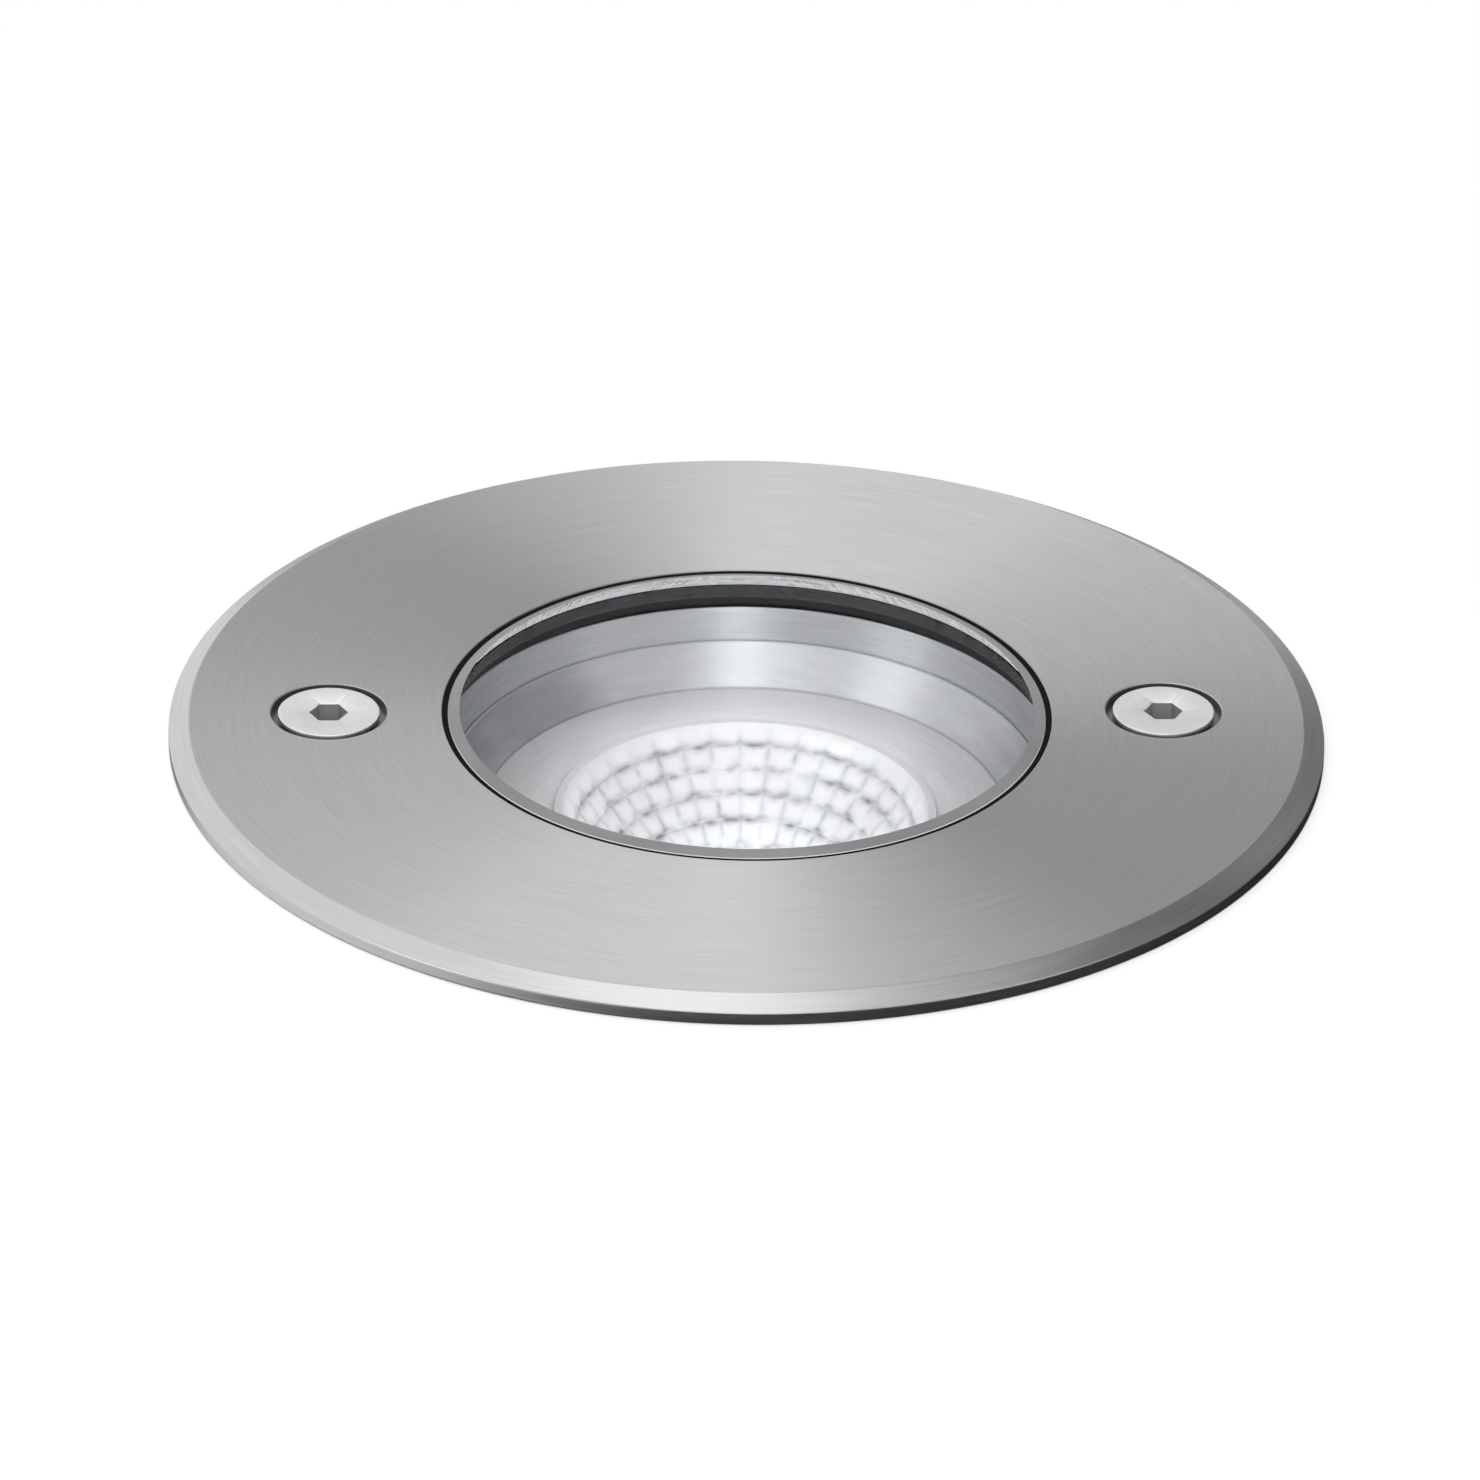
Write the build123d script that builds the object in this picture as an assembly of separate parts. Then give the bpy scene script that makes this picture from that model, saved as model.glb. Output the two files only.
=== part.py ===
"""Recessed ground light: a stainless trim with a glass, a sealed lamp unit and the sleeve that stays
in the ground. Millimetres, +Z up. The origin is on the axis at ground level, under the trim's rim."""

import os
from math import cos, pi

from build123d import *

# Trim, glass and seal
GLASS_R = 31.05
GLASS_BEVEL_WIDTH = 1.2
GLASS_BEVEL_DROP = 0.4
GLASS_PROUD = 0.3
SEAL_WIDTH = 0.65
SEAL_SINK = 0.15
TRIM_THICK = 2.5
TRIM_LIP = 8.0
RIM_BEVEL_WIDTH = 2.2
RIM_BEVEL_DROP = 1.2
RELIEF_DEPTH = 0.5
RELIEF_GAP = 0.4
HUB_DEPTH = 1.6

# Countersunk trim screws with hexagon sockets, their seals and the brass inserts that take them
SCREW_INSET = 11.7
SHANK_R = 2.5
SCREW_LENGTH = 20.0
HEAD_R = 5.3
HEAD_LAND = 0.4
SCREW_SINK = 0.05
SOCKET_FLATS = 3.5
SOCKET_DEPTH = 2.0
SHANK_TIP = 0.5
HEAD_CLEARANCE = 0.15
MOUTH_GAP = 0.75
MOUTH_DEPTH = 1.2
SHANK_CLEARANCE = 0.25
THREAD_CLEARANCE = 0.1
ORING_SECTION_R = 0.45
ORING_CLEARANCE = 0.2
INSERT_WALL = 1.1
INSERT_LENGTH = 10.0

# Gasket and cast lamp body
GASKET_THICK = 3.2
GASKET_LAP = 0.35
GASKET_LIP = 0.8
GASKET_INSET = 0.4
FLANGE_THICK = 4.0
FLANGE_EDGE = 5.6
THROAT_R = 31.9
THROAT_TAPER = 0.9
THROAT_HEIGHT = 3.5
CAN_WALL = 2.5
CAN_GAP = 1.4
SHOULDER_THICK = 3.0
SHOULDER_LAP = 6.2

# Bezel dish and faceted reflector
BEZEL_FIT = 0.1
BEZEL_LIP = 0.3
DISH_HEIGHT = 4.0
DISH_TAPER = 3.3
BEZEL_FLOOR = 1.5
REFLECTOR_MOUTH_R = 19.2
REFLECTOR_THROAT_R = 8.0
REFLECTOR_HEIGHT = 12.0
REFLECTOR_WALL = 0.8
REFLECTOR_PROUD = 0.3
REFLECTOR_FIT = 0.2
FACET_ROWS = 6
FACET_COLUMNS = 36
BOWL_CURVE = 1.2

# Light source and heat sink
EMITTER_R = 6.5
EMITTER_THICK = 0.5
EMITTER_SINK = 0.2
BOARD_R = 9.5
BOARD_THICK = 1.6
HOLDER_RIM = 5.0
HOLDER_FIT = 0.2
PLATE_THICK = 5.0
SINK_FIT = 0.2
CORE_R = 12.0
FIN_COUNT = 12
FIN_THICK = 2.0
FIN_HEIGHT = 10.0
FIN_TIP = 1.3
SINK_SCREW_COUNT = 3
POST_R = 3.2
POST_INSET = 5.5

# Small pan-head screws inside the lamp
PAN_SHANK_R = 1.5
PAN_HEAD_R = 2.75
PAN_HEAD_HEIGHT = 2.0
PAN_LENGTH = 8.0
PAN_CLEARANCE = 0.2
TAP_CLEARANCE = 0.05
HOLDER_SCREW_COUNT = 2
HOLDER_SHANK_R = 1.0
HOLDER_HEAD_R = 1.6
HOLDER_HEAD_HEIGHT = 1.2
HOLDER_HEAD_SINK = 0.1
HOLDER_SCREW_LENGTH = 5.0

# Driver, its terminals and the leads to the light source
DRIVER_LENGTH = 46.0
DRIVER_WIDTH = 30.0
DRIVER_HEIGHT = 15.6
DRIVER_CORNER = 3.0
EAR_LENGTH = 8.0
EAR_WIDTH = 9.0
EAR_THICK = 3.0
TERMINAL_LENGTH = 8.0
TERMINAL_WIDTH = 14.0
TERMINAL_HEIGHT = 5.0
TERMINAL_WAYS = 2
TERMINAL_HOLE_R = 1.8
LEAD_R = 0.6
LEAD_SPACING = 2.6
LEAD_INSET = 1.8
LEAD_BEND = 2.5
LEAD_HOLE_GAP = 0.7
DRIVER_ROOM = 7.0

# Screw-in base cover and its ring seal
COVER_THICK = 4.0
SPIGOT_HEIGHT = 6.0
SPIGOT_WALL = 4.3
SPIGOT_FIT = 0.2
BASE_ORING_SECTION_R = 0.62
GROOVE_CLEARANCE = 0.1
SPANNER_HOLE_COUNT = 2
SPANNER_HOLE_R = 2.2
SPANNER_HOLE_DEPTH = 2.5
SPANNER_PITCH_R = 24.0

# Cable gland
GLAND_THREAD_R = 7.9
GLAND_FIT = 0.1
GLAND_FLATS = 20.0
GLAND_HEX_HEIGHT = 6.0
GLAND_STEM = 7.5
GLAND_BORE_R = 5.0
GLAND_END = 2.0
WASHER_THICK = 1.0
WASHER_RIM = 1.4
LOCKNUT_HEIGHT = 4.5
CABLE_BORE_R = 3.6
GLAND_SEAL_R = 5.9
GLAND_SEAL_LENGTH = 9.0
NUT_GAP = 0.6
NUT_END = 3.5
NUT_BEVEL = 2.5
NUT_HOLE_GAP = 0.6

# Sleeve in the ground
SLEEVE_LENGTH = 103.0
SLEEVE_FIT = 0.5
SLEEVE_WALL = 2.5
LEDGE_GAP = 1.0
LEDGE_THICK = 5.0
BOSS_WALL = 1.4
BOSS_FLOOR = 1.5
NOTCH_WIDTH = 14.0
NOTCH_HEIGHT = 16.0
GROOVE_DEPTH = 0.8
GROOVE_WIDTH = 2.0
GROOVE_COUNT = 3

# Radii worked outwards from the glass
opening_r = GLASS_R + SEAL_WIDTH
screw_pitch_r = opening_r + SCREW_INSET
flange_r = screw_pitch_r + FLANGE_EDGE
sleeve_in_r = flange_r + SLEEVE_FIT
sleeve_r = sleeve_in_r + SLEEVE_WALL
relief_r = sleeve_r + RELIEF_GAP
trim_r = sleeve_r + TRIM_LIP
insert_bore_r = SHANK_R + THREAD_CLEARANCE
insert_r = insert_bore_r + INSERT_WALL
boss_r = insert_r + BOSS_WALL
can_r = screw_pitch_r - boss_r - CAN_GAP
can_in_r = can_r - CAN_WALL
ledge_r = can_r + LEDGE_GAP
throat_end_r = THROAT_R - THROAT_TAPER
bezel_r = throat_end_r - BEZEL_FIT
dish_r = bezel_r - BEZEL_LIP
crease_r = dish_r - DISH_TAPER
reflector_r = REFLECTOR_MOUTH_R + REFLECTOR_WALL
shoulder_r = throat_end_r - SHOULDER_LAP
holder_bore_r = BOARD_R + HOLDER_FIT
holder_r = holder_bore_r + HOLDER_RIM
holder_screw_r = holder_bore_r + HOLDER_RIM / 2
sink_r = can_in_r - SINK_FIT
post_pitch_r = can_in_r - POST_INSET
oring_r = SHANK_R + ORING_CLEARANCE + ORING_SECTION_R
screw_hole_r = oring_r + ORING_SECTION_R + ORING_CLEARANCE
shank_hole_r = SHANK_R + SHANK_CLEARANCE
spigot_r = can_in_r - SPIGOT_FIT
cover_hole_r = GLAND_THREAD_R + GLAND_FIT
lead_r = DRIVER_LENGTH / 2 - LEAD_INSET
ear_screw_x = DRIVER_LENGTH / 2 + EAR_LENGTH / 2

# Heights worked from the top of the trim
glass_top = TRIM_THICK + GLASS_PROUD
glass_edge = glass_top - GLASS_BEVEL_DROP
seal_top = TRIM_THICK - SEAL_SINK
hub_bottom = -HUB_DEPTH
screw_top = TRIM_THICK - SCREW_SINK
head_edge = screw_top - HEAD_LAND
head_bottom = head_edge - (HEAD_R - SHANK_R)
mouth_floor = TRIM_THICK - MOUTH_DEPTH
screw_end = screw_top - SCREW_LENGTH
flange_top = hub_bottom - GASKET_THICK
flange_bottom = flange_top - FLANGE_THICK
dish_top = flange_top - THROAT_HEIGHT
floor_top = dish_top - DISH_HEIGHT
floor_bottom = floor_top - BEZEL_FLOOR
shoulder_bottom = floor_bottom - SHOULDER_THICK
reflector_top = floor_top + REFLECTOR_PROUD
reflector_bottom = reflector_top - REFLECTOR_HEIGHT
holder_seat = reflector_bottom - HOLDER_HEAD_SINK - HOLDER_HEAD_HEIGHT
emitter_top = reflector_bottom - EMITTER_SINK
board_top = emitter_top - EMITTER_THICK
plate_top = board_top - BOARD_THICK
plate_bottom = plate_top - PLATE_THICK
fin_bottom = plate_bottom - FIN_HEIGHT
driver_bottom = fin_bottom - DRIVER_HEIGHT
can_bottom = driver_bottom - DRIVER_ROOM
cover_bottom = can_bottom - COVER_THICK
washer_bottom = cover_bottom - WASHER_THICK
hex_bottom = washer_bottom - GLAND_HEX_HEIGHT
stem_bottom = hex_bottom - GLAND_STEM
seal_bottom = stem_bottom
nut_bottom = stem_bottom - NUT_END
sleeve_bottom = -SLEEVE_LENGTH
ledge_bottom = flange_bottom - LEDGE_THICK
boss_bottom = flange_bottom - INSERT_LENGTH - BOSS_FLOOR

HEX_SIDES = 6
FULL_TURN = 360
QUARTER_TURN = 90
UPWARD = (Align.CENTER, Align.CENTER, Align.MIN)
DOWNWARD = (Align.CENTER, Align.CENTER, Align.MAX)
SIDES = (-1, 1)


def turned(*outline):
    """A solid turned about Z from a closed outline of (radius, height) points."""
    return revolve(Plane.XZ * make_face(Polyline(*outline, close=True)), Axis.Z)


def ring(outer, inner, top, bottom):
    """A plain turned ring."""
    return turned((inner, bottom), (outer, bottom), (outer, top), (inner, top))


def rod(radius, top, bottom):
    """A plain round rod on the axis."""
    return Pos(0, 0, bottom) * Cylinder(radius, top - bottom, align=UPWARD)


def hexagon(flats, top, bottom):
    """A hexagonal prism on the axis, sized across its flats."""
    profile = RegularPolygon(flats / 2, HEX_SIDES, major_radius=False)
    return Pos(0, 0, bottom) * extrude(profile, top - bottom)


def torus_ring(radius, section, height):
    """A ring seal on the axis."""
    return Pos(0, 0, height) * Torus(radius, section)


def around(radius, count, start=0.0):
    """Equally spaced places on a circle, each turned to face outwards."""
    return PolarLocations(radius, count, start)


def screw_places():
    """The two trim screw axes, left then right."""
    return [Pos(side * screw_pitch_r, 0, 0) for side in SIDES]


def screw_seat():
    """The counterbore and cone that one trim screw and its seal go through."""
    mouth_r = HEAD_R + MOUTH_GAP
    cone_r = HEAD_R + HEAD_CLEARANCE - (head_edge - mouth_floor)
    cone_end = mouth_floor - (cone_r - screw_hole_r)
    return turned(
        (0, hub_bottom),
        (screw_hole_r, hub_bottom),
        (screw_hole_r, cone_end),
        (cone_r, mouth_floor),
        (mouth_r, mouth_floor),
        (mouth_r, TRIM_THICK),
        (0, TRIM_THICK),
    )


def make_trim_ring():
    """Bevelled ring that lies on the ground, relieved over the sleeve, with a hub that centres it there."""
    body = turned(
        (opening_r, hub_bottom),
        (flange_r, hub_bottom),
        (flange_r, RELIEF_DEPTH),
        (relief_r, RELIEF_DEPTH),
        (relief_r, 0),
        (trim_r, 0),
        (trim_r, TRIM_THICK - RIM_BEVEL_DROP),
        (trim_r - RIM_BEVEL_WIDTH, TRIM_THICK),
        (opening_r, TRIM_THICK),
    )
    for place in screw_places():
        body -= place * screw_seat()
    return body


def make_glass_lens():
    """Flat disc with a ground bevel round its upper edge."""
    return turned(
        (0, hub_bottom),
        (GLASS_R, hub_bottom),
        (GLASS_R, glass_edge),
        (GLASS_R - GLASS_BEVEL_WIDTH, glass_top),
        (0, glass_top),
    )


def make_glass_seal():
    """Bond line that fills the gap between glass and trim."""
    return ring(opening_r, GLASS_R, seal_top, hub_bottom)


def make_trim_screw(place):
    """Countersunk screw with a hexagon socket."""
    body = turned(
        (0, screw_end),
        (SHANK_R - SHANK_TIP, screw_end),
        (SHANK_R, screw_end + SHANK_TIP),
        (SHANK_R, head_bottom),
        (HEAD_R, head_edge),
        (HEAD_R, screw_top),
        (0, screw_top),
    )
    body -= hexagon(SOCKET_FLATS, screw_top, screw_top - SOCKET_DEPTH)
    return place * body


def make_screw_oring(place):
    """Ring seal on the shank, under the head."""
    return place * torus_ring(oring_r, ORING_SECTION_R, head_bottom - ORING_SECTION_R)


def make_face_gasket():
    """Gasket that seals trim to lamp body, with a thin lip that carries the glass."""
    lip_bottom = hub_bottom - GASKET_LIP
    body = turned(
        (THROAT_R, flange_top),
        (flange_r - GASKET_INSET, flange_top),
        (flange_r - GASKET_INSET, hub_bottom),
        (GLASS_R - GASKET_LAP, hub_bottom),
        (GLASS_R - GASKET_LAP, lip_bottom),
        (THROAT_R, lip_bottom),
    )
    for place in screw_places():
        body -= place * rod(screw_hole_r, hub_bottom, flange_top)
    return body


def make_lamp_body():
    """Cast can with a top flange, a tapered mouth, a shoulder for the bezel and posts for the heat sink."""
    body = turned(
        (THROAT_R, flange_top),
        (flange_r, flange_top),
        (flange_r, flange_bottom),
        (can_r, flange_bottom),
        (can_r, can_bottom),
        (can_in_r, can_bottom),
        (can_in_r, shoulder_bottom),
        (shoulder_r, shoulder_bottom),
        (shoulder_r, floor_bottom),
        (throat_end_r, floor_bottom),
        (throat_end_r, dish_top),
    )
    for place in screw_places():
        body -= place * rod(shank_hole_r, flange_top, flange_bottom)
    tap_r = PAN_SHANK_R + TAP_CLEARANCE
    tap_depth = PAN_LENGTH - PLATE_THICK + PAN_CLEARANCE
    for place in sink_screw_places():
        body += place * rod(POST_R, shoulder_bottom, plate_top)
        body -= place * rod(tap_r, plate_top + tap_depth, plate_top)
    return body


def sink_screw_places():
    """The heat sink's screws, each midway between two fins."""
    return around(post_pitch_r, SINK_SCREW_COUNT, QUARTER_TURN)


def make_reflector_bezel():
    """Turned dish: the lower throat, and a flat floor with a hole for the reflector."""
    hole_r = reflector_r + REFLECTOR_FIT
    return turned(
        (hole_r, floor_bottom),
        (bezel_r, floor_bottom),
        (bezel_r, dish_top),
        (dish_r, dish_top),
        (crease_r, floor_top),
        (hole_r, floor_top),
    )


def bowl_radius(row):
    """Inner radius of the reflector at the top of a row of facets."""
    drop = (row / FACET_ROWS) ** BOWL_CURVE
    return REFLECTOR_MOUTH_R - (REFLECTOR_MOUTH_R - REFLECTOR_THROAT_R) * drop


def bowl_height(row):
    """Height of the top of a row of facets."""
    return reflector_top - REFLECTOR_HEIGHT * row / FACET_ROWS


def make_reflector():
    """Bowl with flat facets inside, in rows and columns, and a smooth outside."""
    rows = range(FACET_ROWS + 1)
    wall = [(bowl_radius(row) + REFLECTOR_WALL, bowl_height(row)) for row in rows]
    body = turned((0, reflector_top), *wall, (0, reflector_bottom))
    facets = [
        Pos(0, 0, bowl_height(row)) * RegularPolygon(bowl_radius(row), FACET_COLUMNS)
        for row in rows
    ]
    return body - loft(facets, ruled=True)


def make_led_emitter():
    """Lit disc on the board."""
    return rod(EMITTER_R, emitter_top, board_top)


def make_led_board():
    """Round metal-core board."""
    return rod(BOARD_R, board_top, plate_top)


def holder_screw_places():
    """The holder's screws, clear of the leads."""
    return around(holder_screw_r, HOLDER_SCREW_COUNT, QUARTER_TURN)


def make_led_holder():
    """Ring that clamps the board and carries the reflector."""
    lip_bottom = board_top + PAN_CLEARANCE
    body = turned(
        (holder_bore_r, plate_top),
        (holder_r, plate_top),
        (holder_r, reflector_bottom),
        (REFLECTOR_THROAT_R, reflector_bottom),
        (REFLECTOR_THROAT_R, lip_bottom),
        (holder_bore_r, lip_bottom),
    )
    for place in holder_screw_places():
        body -= place * rod(HOLDER_SHANK_R + PAN_CLEARANCE, reflector_bottom, plate_top)
        body -= place * rod(HOLDER_HEAD_R + PAN_CLEARANCE, reflector_bottom, holder_seat)
    return body


def make_holder_screws():
    """The two small sunk screws of the holder, as one group."""
    screw = rod(HOLDER_HEAD_R, reflector_bottom - HOLDER_HEAD_SINK, holder_seat)
    screw += rod(HOLDER_SHANK_R, holder_seat, holder_seat - HOLDER_SCREW_LENGTH)
    return Compound(children=[place * screw for place in holder_screw_places()])


def ear_screw_places():
    """The two screws of the driver, one at each end."""
    return [Pos(side * ear_screw_x, 0, 0) for side in SIDES]


def make_heat_sink():
    """Round plate with a core and radial fins below, and two posts for the driver."""
    body = rod(sink_r, plate_top, plate_bottom) + rod(CORE_R, plate_bottom, fin_bottom)
    fin_length = sink_r - FIN_TIP - CORE_R / 2
    fin = Box(fin_length, FIN_THICK, FIN_HEIGHT, align=(Align.MIN, Align.CENTER, Align.MAX))
    half_pitch = FULL_TURN / FIN_COUNT / 2
    for place in around(CORE_R / 2, FIN_COUNT, half_pitch):
        body += Pos(0, 0, plate_bottom) * place * fin
    tap_r = PAN_SHANK_R + TAP_CLEARANCE
    tap_depth = PAN_LENGTH - EAR_THICK + PAN_CLEARANCE
    for place in ear_screw_places():
        body += place * rod(POST_R, plate_bottom, fin_bottom)
        body -= place * rod(tap_r, fin_bottom + tap_depth, fin_bottom)
    for place in sink_screw_places():
        body -= place * rod(PAN_SHANK_R + PAN_CLEARANCE, plate_top, plate_bottom)
    holder_tap_depth = HOLDER_SCREW_LENGTH - (holder_seat - plate_top) + PAN_CLEARANCE
    for place in holder_screw_places():
        body -= place * rod(HOLDER_SHANK_R + TAP_CLEARANCE, plate_top, plate_top - holder_tap_depth)
    lead_hole_r = LEAD_SPACING / 2 + LEAD_R + LEAD_HOLE_GAP
    body -= Pos(lead_r, 0, 0) * rod(lead_hole_r, plate_top, plate_bottom)
    return body


def pan_screw(seat):
    """Pan-head screw that points up, with its head under the given seat."""
    head = rod(PAN_HEAD_R, seat, seat - PAN_HEAD_HEIGHT)
    return head + rod(PAN_SHANK_R, seat + PAN_LENGTH, seat)


def make_heat_sink_screws():
    """Three screws that hold the heat sink to the body's posts, as one group."""
    return Compound(children=[place * pan_screw(plate_bottom) for place in sink_screw_places()])


def make_driver_screws():
    """Two screws that hold the driver to the heat sink, as one group."""
    seat = fin_bottom - EAR_THICK
    return Compound(children=[place * pan_screw(seat) for place in ear_screw_places()])


def make_led_driver():
    """Potted driver case with a fixing ear at each end."""
    case = RectangleRounded(DRIVER_LENGTH, DRIVER_WIDTH, DRIVER_CORNER)
    body = Pos(0, 0, driver_bottom) * extrude(case, DRIVER_HEIGHT)
    ears = RectangleRounded(DRIVER_LENGTH + 2 * EAR_LENGTH, EAR_WIDTH, DRIVER_CORNER)
    body += Pos(0, 0, fin_bottom - EAR_THICK) * extrude(ears, EAR_THICK)
    for place in ear_screw_places():
        body -= place * rod(PAN_SHANK_R + PAN_CLEARANCE, fin_bottom, fin_bottom - EAR_THICK)
    return body


def make_terminal_block():
    """Supply terminals under the driver, with a wire hole for each way."""
    centre_x = TERMINAL_LENGTH / 2 - DRIVER_LENGTH / 2
    block = Pos(centre_x, 0, driver_bottom) * Box(
        TERMINAL_LENGTH, TERMINAL_WIDTH, TERMINAL_HEIGHT, align=DOWNWARD
    )
    pitch = TERMINAL_WIDTH / TERMINAL_WAYS
    hole = Rot(0, QUARTER_TURN, 0) * Cylinder(TERMINAL_HOLE_R, TERMINAL_LENGTH)
    for way in range(TERMINAL_WAYS):
        across = (way + 0.5) * pitch - TERMINAL_WIDTH / 2
        block -= Pos(centre_x, across, driver_bottom - TERMINAL_HEIGHT / 2) * hole
    return block


def make_led_leads():
    """Two insulated leads from the holder down to the driver, as one group."""
    height = (reflector_bottom + plate_top) / 2
    leads = []
    for side in SIDES:
        across = side * LEAD_SPACING / 2
        route = FilletPolyline(
            (holder_r, across, height),
            (lead_r, across, height),
            (lead_r, across, fin_bottom),
            radius=LEAD_BEND,
        )
        section = Plane(origin=route @ 0, z_dir=route % 0) * Circle(LEAD_R)
        leads.append(sweep(section, path=route))
    return Compound(children=leads)


def make_base_cover():
    """Screw-in cap with a spigot, a seal groove, a gland hole and two blind spanner holes."""
    spigot_in_r = spigot_r - SPIGOT_WALL
    groove_height = 2 * BASE_ORING_SECTION_R + 2 * GROOVE_CLEARANCE
    groove_r = can_in_r - 2 * BASE_ORING_SECTION_R - 2 * GROOVE_CLEARANCE
    body = turned(
        (cover_hole_r, cover_bottom),
        (can_r, cover_bottom),
        (can_r, can_bottom),
        (groove_r, can_bottom),
        (groove_r, can_bottom + groove_height),
        (spigot_r, can_bottom + groove_height),
        (spigot_r, can_bottom + SPIGOT_HEIGHT),
        (spigot_in_r, can_bottom + SPIGOT_HEIGHT),
        (spigot_in_r, can_bottom),
        (cover_hole_r, can_bottom),
    )
    for place in around(SPANNER_PITCH_R, SPANNER_HOLE_COUNT):
        body -= place * rod(SPANNER_HOLE_R, cover_bottom + SPANNER_HOLE_DEPTH, cover_bottom)
    return body


def make_base_oring():
    """Ring seal in the spigot's groove."""
    middle = can_bottom + GROOVE_CLEARANCE + BASE_ORING_SECTION_R
    return torus_ring(can_in_r - GROOVE_CLEARANCE - BASE_ORING_SECTION_R, BASE_ORING_SECTION_R, middle)


def make_gland_body():
    """Gland with a thread through the cover, a hexagon outside and a stem for the nut."""
    top = can_bottom + LOCKNUT_HEIGHT + GLAND_END
    body = rod(GLAND_THREAD_R, top, stem_bottom)
    body += hexagon(GLAND_FLATS, washer_bottom, hex_bottom)
    body -= rod(GLAND_BORE_R, top, stem_bottom)
    return body - rod(GLAND_SEAL_R + GLAND_FIT, seal_bottom + GLAND_SEAL_LENGTH, seal_bottom)


def make_gland_washer():
    """Sealing washer between the gland and the cover."""
    return ring(GLAND_THREAD_R + WASHER_RIM, cover_hole_r, cover_bottom, washer_bottom)


def make_gland_locknut():
    """Nut that holds the gland from inside."""
    body = hexagon(GLAND_FLATS, can_bottom + LOCKNUT_HEIGHT, can_bottom)
    return body - rod(cover_hole_r, can_bottom + LOCKNUT_HEIGHT, can_bottom)


def make_gland_seal():
    """Rubber bush that grips the cable."""
    return ring(GLAND_SEAL_R, CABLE_BORE_R, seal_bottom + GLAND_SEAL_LENGTH, seal_bottom)


def make_gland_nut():
    """Bevelled clamping nut with a hole for the cable."""
    top = hex_bottom - NUT_GAP
    rim_r = GLAND_FLATS / 2 / cos(pi / HEX_SIDES)
    blank = turned(
        (0, nut_bottom),
        (rim_r - NUT_BEVEL, nut_bottom),
        (rim_r, nut_bottom + NUT_BEVEL),
        (rim_r, top),
        (0, top),
    )
    body = blank & hexagon(GLAND_FLATS, top, nut_bottom)
    body -= rod(cover_hole_r, top, stem_bottom)
    return body - rod(CABLE_BORE_R + NUT_HOLE_GAP, stem_bottom, nut_bottom)


def make_recess_sleeve():
    """Open tube with a ledge for the lamp flange, two screw bosses, anchor grooves and cable notches."""
    body = turned(
        (sleeve_in_r, sleeve_bottom),
        (sleeve_r, sleeve_bottom),
        (sleeve_r, 0),
        (sleeve_in_r, 0),
        (sleeve_in_r, flange_bottom),
        (ledge_r, flange_bottom),
        (ledge_r, ledge_bottom),
        (sleeve_in_r, ledge_bottom),
    )
    for side, place in zip(SIDES, screw_places()):
        body += place * rod(boss_r, flange_bottom, boss_bottom)
        web = Box(sleeve_in_r - screw_pitch_r + SLEEVE_WALL / 2, boss_r, flange_bottom - boss_bottom)
        middle = (sleeve_in_r + SLEEVE_WALL / 2 + screw_pitch_r) / 2
        body += Pos(side * middle, 0, (flange_bottom + boss_bottom) / 2) * web
        body -= place * rod(insert_r, flange_bottom, flange_bottom - INSERT_LENGTH)
    groove_pitch = (ledge_bottom - sleeve_bottom - NOTCH_HEIGHT) / (GROOVE_COUNT + 1)
    for index in range(GROOVE_COUNT):
        middle = ledge_bottom - (index + 1) * groove_pitch
        half = GROOVE_WIDTH / 2
        body -= ring(sleeve_r, sleeve_r - GROOVE_DEPTH, middle + half, middle - half)
    notch = SlotOverall(2 * NOTCH_HEIGHT, NOTCH_WIDTH, rotation=QUARTER_TURN)
    cut = extrude(Plane.XZ * notch, 2 * sleeve_r, both=True)
    return body - Pos(0, 0, sleeve_bottom) * cut


def make_screw_inserts():
    """Two brass inserts in the sleeve's bosses, as one group."""
    insert = ring(insert_r, insert_bore_r, flange_bottom, flange_bottom - INSERT_LENGTH)
    return Compound(children=[place * insert for place in screw_places()])


left_place, right_place = screw_places()

NODES = {
    "trim_ring": make_trim_ring(),
    "glass_lens": make_glass_lens(),
    "glass_seal": make_glass_seal(),
    "left_screw": make_trim_screw(left_place),
    "right_screw": make_trim_screw(right_place),
    "left_screw_oring": make_screw_oring(left_place),
    "right_screw_oring": make_screw_oring(right_place),
    "face_gasket": make_face_gasket(),
    "lamp_body": make_lamp_body(),
    "reflector_bezel": make_reflector_bezel(),
    "reflector": make_reflector(),
    "led_emitter": make_led_emitter(),
    "led_board": make_led_board(),
    "led_holder": make_led_holder(),
    "led_holder_screws": make_holder_screws(),
    "heat_sink": make_heat_sink(),
    "heat_sink_screws": make_heat_sink_screws(),
    "led_driver": make_led_driver(),
    "driver_screws": make_driver_screws(),
    "terminal_block": make_terminal_block(),
    "led_leads": make_led_leads(),
    "base_cover": make_base_cover(),
    "base_oring": make_base_oring(),
    "gland_body": make_gland_body(),
    "gland_washer": make_gland_washer(),
    "gland_locknut": make_gland_locknut(),
    "gland_seal": make_gland_seal(),
    "gland_nut": make_gland_nut(),
    "recess_sleeve": make_recess_sleeve(),
    "screw_inserts": make_screw_inserts(),
}

os.makedirs("parts", exist_ok=True)
for name, solid in NODES.items():
    export_step(solid, os.path.join("parts", name + ".step"))
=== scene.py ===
"""Recessed ground light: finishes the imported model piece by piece, laid out as a Blender add-on."""

from math import cos, pi, radians, sin, tan

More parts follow.
